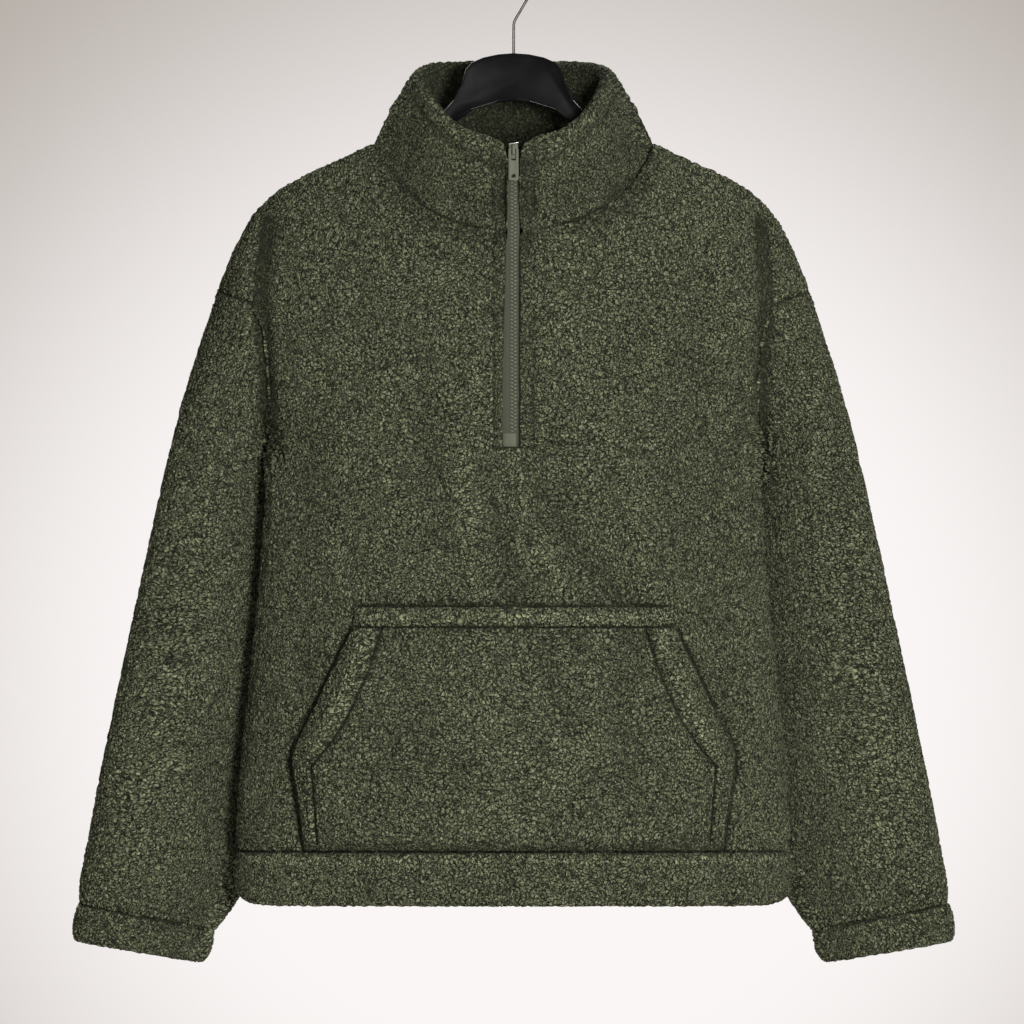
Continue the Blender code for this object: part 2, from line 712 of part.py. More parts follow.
def extruded(name, loops, thick, finish, bevel=0.0):
    """A flat outline in the XZ plane with its holes, given its thickness along Y."""
    curve = bpy.data.curves.new(name, "CURVE")
    curve.dimensions = "2D"
    curve.fill_mode = "BOTH"
    curve.extrude = thick / 2 * MM
    for loop in loops:
        spline = curve.splines.new("POLY")
        spline.points.add(len(loop) - 1)
        for point, (x, z) in zip(spline.points, loop):
            point.co = (x * MM, z * MM, 0, 1)
        spline.use_cyclic_u = True
    holder = bpy.data.objects.new(name + "_outline", curve)
    bpy.context.scene.collection.objects.link(holder)
    bpy.context.view_layer.update()
    mesh = bpy.data.meshes.new_from_object(holder.evaluated_get(bpy.context.evaluated_depsgraph_get()))
    bpy.data.objects.remove(holder)
    bm = bmesh.new()
    bm.from_mesh(mesh)
    bmesh.ops.remove_doubles(bm, verts=bm.verts, dist=0.00001)
    for vert in bm.verts:
        vert.co = (vert.co.x, vert.co.z, vert.co.y)
    if bm.calc_volume(signed=True) < 0:
        bmesh.ops.reverse_faces(bm, faces=bm.faces)
    bm.to_mesh(mesh)
    bm.free()
    mesh.name = name
    made = place(name, mesh, finish, 30)
    if bevel:
        rounding = made.modifiers.new("rounded_edges", "BEVEL")
        rounding.width = bevel * MM
        rounding.segments = 2
        rounding.limit_method = "ANGLE"
        rounding.angle_limit = math.radians(50)
    return made


def hanger_outline():
    """Right half from the top middle along the upper edge to the tip, and back underneath."""
    upper = [(0, PLATE_TOP_Z), (14, -89), (28, -92), (38.5, -96.6), (44, -103), (47.5, -115.5),
             (56, -131), (66, -143), (82, -160), (98, -178), (112, -192), (130, -196), (152, -199)]
    xs = np.linspace(ARM_REST_X, ARM_TIP_X, 5)
    ridge_z = smooth_at([r.x for r in RIDGE], [r.z for r in RIDGE], xs)
    slope = np.gradient(ridge_z, xs)
    upper += [(x, z - ARM_CLEAR * math.hypot(1, m)) for x, z, m in zip(xs, ridge_z, slope)]
    tip_x, tip_z = upper[-1]
    tip = [(tip_x + 2.5, tip_z - 6), (tip_x, tip_z - 13), (tip_x - 7, tip_z - 16)]
    under = [(x - 6, z - ARM_DEPTH) for x, z in upper[-2:-8:-1]]
    arch = [(104, -211), (86, -193), (68, -171), (53, -151.5), (36, -139), (18, -133.5), (0, -132)]
    half = upper + tip + under + arch
    return half + [(-x, z) for x, z in half[-2:0:-1]]


def build_hanger():
    hanger = extruded("hanger", [hanger_outline()], HANGER_THICK, black_plastic(), HANGER_EDGE)
    bpy.ops.mesh.primitive_cylinder_add(
        vertices=24, radius=(WIRE / 2 + 0.3) * MM, depth=2 * SOCKET_DEPTH * MM,
        location=(0, 0, PLATE_TOP_Z * MM),
    )
    cutter = bpy.context.object
    cutter.name = "hook_socket"
    cutter.display_type = "WIRE"
    cutter.hide_render = True
    for owner in cutter.users_collection:
        owner.objects.unlink(cutter)
    bpy.data.collections["cutters"].objects.link(cutter)
    cut = hanger.modifiers.new("hook_socket", "BOOLEAN")
    cut.operation = "DIFFERENCE"
    cut.solver = "MANIFOLD"
    cut.object = cutter


def build_hook():
    """Wire from its socket straight up, bent to one side and round its loop."""
    loop_z = WIRE / 2 - LOOP_RADIUS
    bend_z = loop_z - LOOP_RISE
    touch = math.asin(LOOP_RADIUS / LOOP_RISE)
    points = [(0, PLATE_TOP_Z - SOCKET_DEPTH + 0.4), (0, PLATE_TOP_Z + 6), (0, bend_z - 3)]
    points += [(0.25, bend_z - 0.8), (1.0, bend_z + 1.6)]
    tangent = (LOOP_RADIUS * math.cos(touch), loop_z - LOOP_RADIUS * math.sin(touch))
    for share in (0.25, 0.5, 0.75):
        points.append((tangent[0] * share, bend_z + (tangent[1] - bend_z) * share))
    turns = 26
    sweep = math.radians(236) + touch
    for k in range(turns + 1):
        angle = -touch + sweep * k / turns
        points.append((LOOP_RADIUS * math.cos(angle), loop_z + LOOP_RADIUS * math.sin(angle)))
    curve = bpy.data.curves.new("hanger_hook", "CURVE")
    curve.dimensions = "3D"
    curve.bevel_depth = WIRE / 2 * MM
    curve.bevel_resolution = 2
    curve.use_fill_caps = True
    spline = curve.splines.new("POLY")
    spline.points.add(len(points) - 1)
    for point, (x, z) in zip(spline.points, points):
        point.co = (x * MM, 0, z * MM, 1)
    curve.materials.append(dark_wire())
    made = bpy.data.objects.new("hanger_hook", curve)
    bpy.data.collections["half_zip_pullover"].objects.link(made)


def rectangle(x0, z0, x1, z1, cut=0.0):
    """Corner points, each corner cut off by the given size."""
    if not cut:
        return [(x0, z0), (x1, z0), (x1, z1), (x0, z1)]
    return [(x0 + cut, z0), (x1 - cut, z0), (x1, z0 + cut), (x1, z1 - cut),
            (x1 - cut, z1), (x0 + cut, z1), (x0, z1 - cut), (x0, z0 + cut)]


def front_of_slider():
    """Depth of the slider's front plate; its back lies just clear of the tape."""
    return zip_depth() - 0.35 - SLIDER_THICK


def move_y(made, depth):
    for vert in made.data.vertices:
        vert.co.y += depth * MM


def build_slider():
    """Slider body with the bridge that holds the pull, in one piece."""
    face = front_of_slider()
    half = SLIDER_WIDTH / 2
    top = PIVOT_Z + 5.0
    low = top - SLIDER_LENGTH
    outline = [(-half, top - 2), (-half + 1.5, top), (half - 1.5, top), (half, top - 2),
               (half - 1.0, low + 1), (half - 2.2, low), (2.2 - half, low), (1.0 - half, low + 1)]
    body = extruded("zip_slider", [outline], SLIDER_THICK, painted_metal())
    move_y(body, face + SLIDER_THICK / 2)
    reach = BRIDGE_CLEAR + 1.0
    sides = [(0.4, top - 1.2), (-reach, top - 1.8), (-reach, low + 4.2), (0.4, low + 3.4),
             (0.4, low + 5.0), (-BRIDGE_CLEAR, low + 5.4), (-BRIDGE_CLEAR, top - 3.0), (0.4, top - 2.6)]
    bm = bmesh.new()
    width = 1.1
    ends = []
    for x in (-width, width):
        ends.append([bm.verts.new((x * MM, (face + y) * MM, z * MM)) for y, z in sides])
    bm.faces.new(ends[0])
    bm.faces.new(ends[1][::-1])
    for k in range(len(sides)):
        after = (k + 1) % len(sides)
        bm.faces.new([ends[0][k], ends[0][after], ends[1][after], ends[1][k]])
    bmesh.ops.recalc_face_normals(bm, faces=bm.faces)
    mesh = bpy.data.meshes.new("slider_bridge")
    bm.to_mesh(mesh)
    bm.free()
    bridge = bpy.data.objects.new("slider_bridge", mesh)
    bridge.display_type = "WIRE"
    bridge.hide_render = True
    bpy.data.collections["cutters"].objects.link(bridge)
    join = body.modifiers.new("bridge", "BOOLEAN")
    join.operation = "UNION"
    join.object = bridge


def build_pull():
    """Flat pull tab; its top bar lies under the slider's bridge, on the hinge line."""
    half = PULL_WIDTH / 2
    top = PIVOT_Z + BAR / 2
    low = top - PULL_LENGTH
    window = rectangle(-2.3, top - 11.5, 2.3, top - BAR, 0.6)
    slot = rectangle(-1.9, low + 2.6, 1.9, low + 5.8, 0.5)
    outline = rectangle(-half, low, half, top, 1.0)
    pull = extruded("zip_pull", [outline, window, slot], BAR, painted_metal())
    move_y(pull, front_of_slider() - BRIDGE_CLEAR / 2)


def start():
    for old in list(bpy.data.objects):
        bpy.data.objects.remove(old)
    for name in ("half_zip_pullover", "cutters"):
        made = bpy.data.collections.new(name)
        bpy.context.scene.collection.children.link(made)


start()
build_body()
build_hanger()
build_hook()
build_slider()
build_pull()
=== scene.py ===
import math

import bpy
import numpy as np
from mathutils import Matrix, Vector
from mathutils.kdtree import KDTree


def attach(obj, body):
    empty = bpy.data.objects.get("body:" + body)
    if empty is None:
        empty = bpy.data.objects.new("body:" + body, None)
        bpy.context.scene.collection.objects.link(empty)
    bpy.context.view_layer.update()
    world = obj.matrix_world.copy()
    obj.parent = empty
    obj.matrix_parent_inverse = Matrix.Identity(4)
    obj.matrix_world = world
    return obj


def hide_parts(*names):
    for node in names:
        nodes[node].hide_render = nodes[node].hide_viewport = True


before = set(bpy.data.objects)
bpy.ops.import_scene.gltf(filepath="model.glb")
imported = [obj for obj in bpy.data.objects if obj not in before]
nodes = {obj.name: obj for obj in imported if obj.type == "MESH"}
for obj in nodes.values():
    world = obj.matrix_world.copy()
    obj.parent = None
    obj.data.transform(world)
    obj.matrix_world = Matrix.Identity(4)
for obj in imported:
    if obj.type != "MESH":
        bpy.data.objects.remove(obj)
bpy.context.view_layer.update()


meshValues = {
    "mergeWithin": 0.00002,
    "quadAngle": 60,          # degrees, for turning triangles back into quads
    "creaseAngle": 55,        # edges sharper than this stay sharp
    "outward": 0.15,          # how far an outer face looks away from the inside
    "smoothing": 0.5,
    "smoothingRounds": 4,
}


def selectOnly(piece):
    bpy.ops.object.select_all(action="DESELECT")
    piece.select_set(True)
    bpy.context.view_layer.objects.active = piece


def selectFaces(mesh, chosen):
    mesh.vertices.foreach_set("select", np.zeros(len(mesh.vertices), bool))
    mesh.edges.foreach_set("select", np.zeros(len(mesh.edges), bool))
    mesh.polygons.foreach_set("select", chosen)


def facePlaces(mesh):
    places = np.empty(len(mesh.polygons) * 3)
    normals = np.empty(len(mesh.polygons) * 3)
    mesh.polygons.foreach_get("center", places)
    mesh.polygons.foreach_get("normal", normals)
    return places.reshape(-1, 3), normals.reshape(-1, 3)


def vertexPlaces(mesh):
    places = np.empty(len(mesh.vertices) * 3)
    mesh.vertices.foreach_get("co", places)
    return places.reshape(-1, 3)


def vertexNormals(mesh):
    normals = np.empty(len(mesh.vertices) * 3)
    mesh.vertices.foreach_get("normal", normals)
    return normals.reshape(-1, 3)


def moveVertices(mesh, places):
    mesh.vertices.foreach_set("co", places.ravel())
    mesh.update()


def editPiece(piece):
    selectOnly(piece)
    bpy.ops.object.mode_set(mode="EDIT")
    bpy.ops.mesh.select_mode(type="FACE")


def leaveEdit():
    bpy.ops.object.mode_set(mode="OBJECT")


def copyNode(nodeName, pieceName):
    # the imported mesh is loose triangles, so the copy is merged and turned back into quads
    piece = bpy.data.objects.new(pieceName, nodes[nodeName].data.copy())
    bpy.context.scene.collection.objects.link(piece)
    editPiece(piece)
    bpy.ops.mesh.select_all(action="SELECT")
    bpy.ops.mesh.remove_doubles(threshold=meshValues["mergeWithin"])
    quadAngle = math.radians(meshValues["quadAngle"])
    bpy.ops.mesh.tris_convert_to_quads(face_threshold=quadAngle, shape_threshold=quadAngle)
    leaveEdit()
    bpy.ops.mesh.customdata_custom_splitnormals_clear()
    piece.data.materials.clear()
    return piece


def addModifier(piece, kind, **values):
    modifier = piece.modifiers.new(kind.lower(), kind)
    for key, value in values.items():
        setattr(modifier, key, value)
    return modifier


def applyModifiers(piece):
    selectOnly(piece)
    for modifier in list(piece.modifiers):
        bpy.ops.object.modifier_apply(modifier=modifier.name)


def shadeSmooth(piece, degrees=None):
    selectOnly(piece)
    if degrees is None:
        bpy.ops.object.shade_smooth()
    else:
        bpy.ops.object.shade_smooth_by_angle(angle=math.radians(degrees))


def handOver(piece, body, slotName, *replaced):
    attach(piece, body)
    if replaced:
        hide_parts(*replaced)


def addNode(tree, kind, values=(), **settings):
    node = tree.nodes.new(kind)
    for key, value in settings.items():
        setattr(node, key, value)
    for key, value in dict(values).items():
        node.inputs[key].default_value = value
    return node


def mathNode(tree, operation, first, second):
    node = addNode(tree, "ShaderNodeMath", operation=operation)
    for socket, value in zip(node.inputs, (first, second)):
        if isinstance(value, (int, float)):
            socket.default_value = value
        else:
            tree.links.new(value, socket)
    return node.outputs[0]


def remap(tree, value, low, high, newLow=0.0, newHigh=1.0):
    node = addNode(tree, "ShaderNodeMapRange", interpolation_type="SMOOTHSTEP")
    node.inputs["From Min"].default_value = low
    node.inputs["From Max"].default_value = high
    node.inputs["To Min"].default_value = newLow
    node.inputs["To Max"].default_value = newHigh
    tree.links.new(value, node.inputs["Value"])
    return node.outputs["Result"]


def noiseNode(tree, place, size, detail=2.0, roughness=0.5):
    node = addNode(tree, "ShaderNodeTexNoise",
                   {"Scale": 1 / size, "Detail": detail, "Roughness": roughness})
    tree.links.new(place, node.inputs["Vector"])
    return node


def mixColours(tree, share, first, second):
    node = addNode(tree, "ShaderNodeMix", data_type="RGBA")
    tree.links.new(share, node.inputs[0])
    for socket, colour in ((node.inputs[6], first), (node.inputs[7], second)):
        if isinstance(colour, tuple):
            socket.default_value = (*colour, 1)
        else:
            tree.links.new(colour, socket)
    return node.outputs[2]


def newFinish(name, roughness, metallic=0.0, **sockets):
    finish = bpy.data.materials.new(name)
    finish.use_nodes = True
    shader = finish.node_tree.nodes["Principled BSDF"]
    shader.inputs["Roughness"].default_value = roughness
    shader.inputs["Metallic"].default_value = metallic
    for key, value in sockets.items():
        shader.inputs[key.replace("_", " ")].default_value = value
    return finish, finish.node_tree, shader


def addBump(tree, shader, height, strength, distance, below=None):
    bump = addNode(tree, "ShaderNodeBump", {"Strength": strength, "Distance": distance})
    tree.links.new(height, bump.inputs["Height"])
    if below is not None:
        tree.links.new(below, bump.inputs["Normal"])
    tree.links.new(bump.outputs["Normal"], shader.inputs["Normal"])
    return bump.outputs["Normal"]


fleeceValues = {
    "clumpSize": 0.0040,      # one curl clump
    "clumpGap": 0.150,        # half width of a parting, as a share of the clump
    "curlSize": 0.0027,       # the smaller curls on it
    "curlGap": 0.18,
    "lean": 0.010,            # how far the clumps are drawn out along the folds
    "leanSize": 0.040,
    "wander": 0.0024,         # how far their outlines wander
    "wanderSize": 0.0042,
    "ripple": 0.0010,
    "rippleSize": 0.0016,
    "relief": 0.0021,         # height of a clump
    "lump": 0.0009,           # slow unevenness of the pile
    "lumpSize": 0.026,
    "clumpKeep": (0.0060, 0.20, 0.38),    # where partings stay open: size of the noise and its limits
    "curlKeep": (0.0042, 0.34, 0.54),
    "curlShare": 0.62,        # how much of a clump's height the curls give
    "grainSize": 0.0015,
    "grainRange": (0.43, 0.60),
    "patchSize": 0.055,
    "patchRange": (0.92, 1.08),
    "clumpBump": 0.0016,
    "grainBump": 0.0018,
    "foldLeft": 0.22,         # share of the colour left under the painted shade of the deepest fold
    "paintedHighlightGain": 1.42,        # how much lighter a crest is painted, as a painted highlight
    "pressedAndPaintedShade": (0.008, 0.009, 0.004),
    "paintedShadeInFold": (0.005, 0.006, 0.002),
    "paintedCreviceShade": (0.002, 0.003, 0.001),
    "body": (0.038, 0.0415, 0.0205),
    "tip": (0.205, 0.218, 0.131),
}


def wanderPlace(tree, place, size, amount):
    drift = noiseNode(tree, place, size, 1.0).outputs["Color"]
    centred = addNode(tree, "ShaderNodeVectorMath", operation="SUBTRACT")
    tree.links.new(drift, centred.inputs[0])
    centred.inputs[1].default_value = (0.5, 0.5, 0.5)
    shift = addNode(tree, "ShaderNodeVectorMath", operation="MULTIPLY_ADD")
    tree.links.new(centred.outputs[0], shift.inputs[0])
    shift.inputs[1].default_value = (amount * 2,) * 3
    tree.links.new(place, shift.inputs[2])
    return shift.outputs[0]


def partings(tree, place, kind):
    # 1 on a clump and 0 in the parting beside it; some stretches of a parting are closed over
    cells = addNode(tree, "ShaderNodeTexVoronoi", {"Scale": 1 / fleeceValues[kind + "Size"]},
                    feature="DISTANCE_TO_EDGE")
    tree.links.new(place, cells.inputs["Vector"])
    depth = remap(tree, cells.outputs["Distance"], 0.0, fleeceValues[kind + "Gap"], 1.0, 0.0)
    keepSize, keepLow, keepHigh = fleeceValues[kind + "Keep"]
    kept = remap(tree, noiseNode(tree, place, keepSize, 1.0).outputs[0], keepLow, keepHigh)
    return mathNode(tree, "SUBTRACT", 1.0, mathNode(tree, "MULTIPLY", depth, kept))


def clumpHeight(tree, place):
    # clumps of curls parted by winding clefts, the same in the mesh and in the material
    wandered = place
    for step in ("lean", "wander", "ripple"):
        wandered = wanderPlace(tree, wandered, fleeceValues[step + "Size"], fleeceValues[step])
    clumps = partings(tree, wandered, "clump")
    curls = partings(tree, wandered, "curl")
    curlShare = fleeceValues["curlShare"]
    raised = mathNode(tree, "ADD", mathNode(tree, "MULTIPLY", curls, curlShare), 1 - curlShare)
    return mathNode(tree, "MULTIPLY", clumps, raised)


def makePileGroup():
    group = bpy.data.node_groups.new("sherpaPile", "GeometryNodeTree")
    group.interface.new_socket("Geometry", in_out="INPUT", socket_type="NodeSocketGeometry")
    group.interface.new_socket("Geometry", in_out="OUTPUT", socket_type="NodeSocketGeometry")
    start = group.nodes.new("NodeGroupInput")
    end = group.nodes.new("NodeGroupOutput")
    place = addNode(group, "GeometryNodeInputNamedAttribute", {"Name": "pilePlace"},
                    data_type="FLOAT_VECTOR").outputs[0]
    normal = group.nodes.new("GeometryNodeInputNormal").outputs[0]
    room = addNode(group, "GeometryNodeInputNamedAttribute", {"Name": "pileRoom"}, data_type="FLOAT")
    clump = clumpHeight(group, place)
    slow = noiseNode(group, place, fleeceValues["lumpSize"], 2.0).outputs[0]
    clumps = mathNode(group, "MULTIPLY", clump, fleeceValues["relief"])
    lumps = mathNode(group, "MULTIPLY", mathNode(group, "SUBTRACT", slow, 0.5), fleeceValues["lump"] * 2)
    height = mathNode(group, "MULTIPLY", mathNode(group, "ADD", clumps, lumps), room.outputs[0])
    move = addNode(group, "ShaderNodeVectorMath", operation="SCALE")
    group.links.new(normal, move.inputs[0])
    group.links.new(height, move.inputs["Scale"])
    setPlace = group.nodes.new("GeometryNodeSetPosition")
    group.links.new(start.outputs[0], setPlace.inputs["Geometry"])
    group.links.new(move.outputs[0], setPlace.inputs["Offset"])
    group.links.new(setPlace.outputs[0], end.inputs[0])
    return group


def makeFleece():
    finish, tree, shader = newFinish("oliveSherpa", 0.95, Sheen_Weight=0.06, Sheen_Roughness=0.6)
    shader.inputs["Specular IOR Level"].default_value = 0.1
    shader.inputs["Sheen Tint"].default_value = (0.62, 0.66, 0.5, 1)
    place = addNode(tree, "ShaderNodeAttribute", attribute_name="pilePlace").outputs["Vector"]
    clump = clumpHeight(tree, place)
    grain = noiseNode(tree, place, fleeceValues["grainSize"], 3.0, 0.75).outputs[0]
    slow = noiseNode(tree, place, fleeceValues["patchSize"], 3.0, 0.6).outputs[0]
    room = addNode(tree, "ShaderNodeAttribute", attribute_name="pileRoom").outputs["Fac"]
    fold = addNode(tree, "ShaderNodeAttribute", attribute_name="paintedShadeAndLight").outputs["Fac"]
    # painted shade in the clefts between the clumps
    dark = mixColours(tree, remap(tree, clump, 0.05, 0.90), fleeceValues["paintedCreviceShade"], fleeceValues["body"])
    # painted highlight on the clump tops, broken up by the grain
    lit = mathNode(tree, "MULTIPLY", remap(tree, grain, *fleeceValues["grainRange"]), clump)
    light = mixColours(tree, lit, dark, fleeceValues["tip"])
    # painted shade where the pile has little room: beside seams and in lines of stitching
    parted = mixColours(tree, remap(tree, room, 0.0, 0.75, 0.30, 1.0), fleeceValues["pressedAndPaintedShade"], light)
    # painted shade in valleys, in lines of stitching and inside the collar
    paintedShadeInFold = remap(tree, fold, 0.0, 1.0, 1.0, fleeceValues["foldLeft"])
    shadeMixedColour = mixColours(tree, paintedShadeInFold, fleeceValues["paintedShadeInFold"], parted)
    shade = tree.nodes.new("ShaderNodeHueSaturation")
    patches = remap(tree, slow, 0.3, 0.7, *fleeceValues["patchRange"])
    # painted highlight on crests, on the pocket's bands and along the body's edge
    crestHighlight = remap(tree, fold, -0.9, 0.0, fleeceValues["paintedHighlightGain"], 1.0)
    tree.links.new(mathNode(tree, "MULTIPLY", patches, crestHighlight), shade.inputs["Value"])
    tree.links.new(shadeMixedColour, shade.inputs["Color"])
    tree.links.new(shade.outputs[0], shader.inputs["Base Color"])
    first = addBump(tree, shader, clump, 1.0, fleeceValues["clumpBump"])
    addBump(tree, shader, grain, 1.0, fleeceValues["grainBump"], first)
    return finish


# how each cloth piece is refined: cuts between the points of its outer face, and its flat cut
clothPieces = {
    "front_panel": {"cuts": 4, "inside": "torso", "flat": (0.60, 0.67), "area": 0.32},
    "back_panel": {"cuts": 4, "inside": "torso", "flat": (0.60, 0.67), "area": 0.33},
    "sleeve_right": {"cuts": 5, "inside": "sleeve", "flat": (0.46, 0.56), "area": 0.19},
    "sleeve_left": {"cuts": 5, "inside": "sleeve", "flat": (0.46, 0.56), "area": 0.19},
    "cuff_right": {"cuts": 3, "inside": "sleeve", "flat": (0.29, 0.042), "area": None},
    "cuff_left": {"cuts": 3, "inside": "sleeve", "flat": (0.29, 0.042), "area": None},
    "hem_band": {"cuts": 3, "inside": "torso", "flat": (1.10, 0.052), "area": None},
    "collar": {"cuts": 3, "inside": "loop", "flat": (0.58, 0.09), "area": None},
    "kangaroo_pocket": {"cuts": 6, "inside": "front", "flat": (0.41, 0.225), "area": 0.085},
}

# the middle of the right-hand sleeve on its way down: x, y, z
sleeveMiddle = (
    (0.215, 0.006, -0.300), (0.246, 0.012, -0.370), (0.263, 0.022, -0.430), (0.266, 0.032, -0.500),
    (0.268, 0.038, -0.560), (0.274, 0.038, -0.625), (0.287, 0.034, -0.702), (0.304, 0.029, -0.779),
    (0.331, 0.021, -0.866), (0.345, 0.017, -0.915),
)

# lines seen from the front, as points (x, z); those of one side are on the left as seen
pocketSide = ((-0.1500, -0.6187), (-0.1650, -0.6481), (-0.1795, -0.6803), (-0.1930, -0.7079),
              (-0.2030, -0.7263), (-0.2050, -0.7364), (-0.1960, -0.7981), (-0.1935, -0.8200))
bandStitch = ((-0.1210, -0.6169), (-0.1320, -0.6528), (-0.1421, -0.6767), (-0.1541, -0.7015),
              (-0.1661, -0.7199), (-0.1845, -0.7420))
bandCrest = ((-0.1330, -0.6200), (-0.1470, -0.6500), (-0.1600, -0.6790), (-0.1725, -0.7050),
             (-0.1860, -0.7270))
armValley = ((-0.2268, -0.2450), (-0.2330, -0.3151), (-0.2290, -0.3600), (-0.2270, -0.4071),
             (-0.2262, -0.4500))
cuffSeam = ((-0.4010, -0.8700), (-0.2840, -0.8945))
shoulderSeam = ((-0.2760, -0.3060), (-0.2562, -0.3123), (-0.2406, -0.3197), (-0.2286, -0.3317))
neckSeam = ((-0.1240, -0.1880), (-0.0961, -0.2148), (-0.0823, -0.2295), (-0.0550, -0.2440),
            (-0.0220, -0.2520))
hemSeam = ((-0.2520, -0.8222), (0.2520, -0.8222))
bodyEdge = ((-0.2180, -0.2700), (-0.2200, -0.4600), (-0.2290, -0.5600), (-0.2410, -0.7000),
            (-0.2480, -0.8150))
zipStitch = ((-0.0190, -0.2500), (-0.0185, -0.4520))
hemValley = ((-0.1870, -0.8175), (0.0, -0.8185), (0.1870, -0.8175))


def foldLine(points, width, height, sides, darkest=1.0):
    # half width and height in metres; a line of stitching or a valley goes in and is painted with shade,
    # a crest comes out and is painted with a highlight;
    # darkest is how dark the painted shade may get in its middle
    return {"points": points, "width": width, "height": height, "sides": sides, "darkest": darkest}


# points, half width, height, the sides it is on, darkest; every line also paints shade or a highlight
# into the fleece's colour
shapedLines = {
    "front_panel": (
        foldLine(hemSeam, 0.0020, -0.0030, "one", 0.75),
        foldLine(neckSeam, 0.0022, -0.0026, "both"),
        foldLine(shoulderSeam, 0.0022, -0.0026, "both"),
        foldLine(zipStitch, 0.0015, -0.0024, "both", 0.6),
        foldLine(((-0.0185, -0.4515), (0.0185, -0.4515)), 0.0014, -0.0020, "one", 0.6),
        foldLine(pocketSide, 0.0028, -0.0028, "both"),
        foldLine(((-0.1440, -0.5965), (0.1400, -0.5965)), 0.0026, -0.0034, "one"),
        foldLine(armValley, 0.0095, -0.0085, "both", 0.72),
        foldLine(bodyEdge, 0.0060, 0.0014, "both"),
        foldLine(((-0.1274, -0.1860), (-0.1044, -0.2270), (-0.0676, -0.2460), (-0.0100, -0.2560)),
                 0.0110, -0.0034, "both"),
        foldLine(((-0.0225, -0.4700), (-0.0133, -0.5359), (0.0023, -0.5966)), 0.0150, -0.0042, "one"),
        foldLine(((0.0299, -0.4945), (0.0658, -0.5543), (0.1026, -0.5938)), 0.0150, -0.0046, "one"),
        foldLine(((-0.0500, -0.4550), (-0.0308, -0.5865)), 0.0150, 0.0050, "one"),
        foldLine(((0.0060, -0.5175), (0.0474, -0.5865)), 0.0130, 0.0050, "one"),
        foldLine(((0.0925, -0.4366), (0.1293, -0.5837)), 0.0160, 0.0044, "one"),
        foldLine(((-0.1150, -0.3100), (-0.1250, -0.5200)), 0.0200, 0.0030, "one"),
        foldLine(((-0.0850, -0.3600), (-0.0800, -0.5300)), 0.0150, -0.0032, "one"),
        foldLine(((0.1700, -0.3400), (0.1600, -0.5600)), 0.0180, -0.0034, "one"),
        foldLine(((-0.1900, -0.4600), (-0.1950, -0.7800)), 0.0170, -0.0034, "both"),
    ),
    "kangaroo_pocket": (
        foldLine(((-0.1440, -0.6155), (0.1440, -0.6155)), 0.0019, -0.0034, "one"),
        foldLine(bandStitch, 0.0020, -0.0036, "both"),
        foldLine(((-0.1855, -0.7420), (-0.1800, -0.8150)), 0.0019, -0.0030, "both"),
        foldLine(((-0.1420, -0.6065), (0.1400, -0.6065)), 0.0060, 0.0038, "one"),
        foldLine(bandCrest, 0.0065, 0.0042, "both"),
        foldLine(hemValley, 0.0070, -0.0028, "one"),
        foldLine(((-0.0310, -0.6300), (-0.0120, -0.7900)), 0.0280, 0.0050, "one"),
        foldLine(((0.0800, -0.7000), (0.0290, -0.7750)), 0.0140, 0.0042, "one"),
        foldLine(((-0.1100, -0.6350), (-0.0900, -0.7000), (-0.1300, -0.7500)), 0.0180, -0.0038, "both"),
        foldLine(((0.0300, -0.6400), (0.0500, -0.7050)), 0.0130, -0.0030, "one"),
    ),
    "collar": (
        foldLine(((-0.0195, -0.1720), (-0.0190, -0.2450)), 0.0014, -0.0018, "both"),
        foldLine(((-0.1200, -0.1700), (-0.0900, -0.2080), (-0.0400, -0.2250), (0.0, -0.2280)),
                 0.0240, -0.0060, "both"),
        foldLine(((-0.1150, -0.1500), (-0.0850, -0.1950), (-0.0400, -0.2120), (0.0, -0.2160)),
                 0.0260, -0.0060, "both"),
        foldLine(((-0.0990, -0.1210), (-0.0760, -0.1550), (-0.0400, -0.1860), (-0.0087, -0.1940)),
                 0.0050, -0.0022, "both"),
        foldLine(((-0.0900, -0.1050), (-0.0740, -0.1430), (-0.0490, -0.1680), (-0.0250, -0.1770),
                  (-0.0080, -0.1790)), 0.0068, 0.0040, "both"),
        foldLine(neckSeam, 0.0022, -0.0026, "both"),
    ),
    "sleeve": (
        foldLine(cuffSeam, 0.0026, -0.0034, "both"),
        foldLine(shoulderSeam, 0.0022, -0.0030, "both"),
        foldLine(armValley, 0.0095, -0.0085, "both", 0.72),
        foldLine(((-0.2900, -0.4300), (-0.3250, -0.6200)), 0.0170, -0.0032, "both"),
        foldLine(((-0.3150, -0.6400), (-0.3450, -0.8200)), 0.0160, 0.0026, "both"),
    ),
    "cuff": (
        foldLine(cuffSeam, 0.0026, -0.0034, "both"),
    ),
    "hem_band": (
        foldLine(hemSeam, 0.0020, -0.0030, "one", 0.75),
        foldLine(((-0.2500, -0.8295), (0.2500, -0.8295)), 0.0050, 0.0022, "one"),
    ),
}

# painted shade in valleys and painted highlight on crests, which go into the fleece's colour
shadeValues = {
    "facing": 1.6,            # how soon a point counts as on the front
    "valleyGain": 1.6,        # how dark a valley's painted shade is for its steepness
    "valleySoft": 0.002,
    "paintedHighlightGain": 1.3,
    "crestMost": 0.9,
    "crestGone": 0.3,         # painted shade this dark leaves no painted highlight from a crest
    "pressedInValley": 0.75,  # share of the pile's room lost there
    "pressedOnCrest": 0.35,
    "neckGain": 1.2,          # how soon the painted shade inside the collar deepens
    "neckMost": 0.85,
}

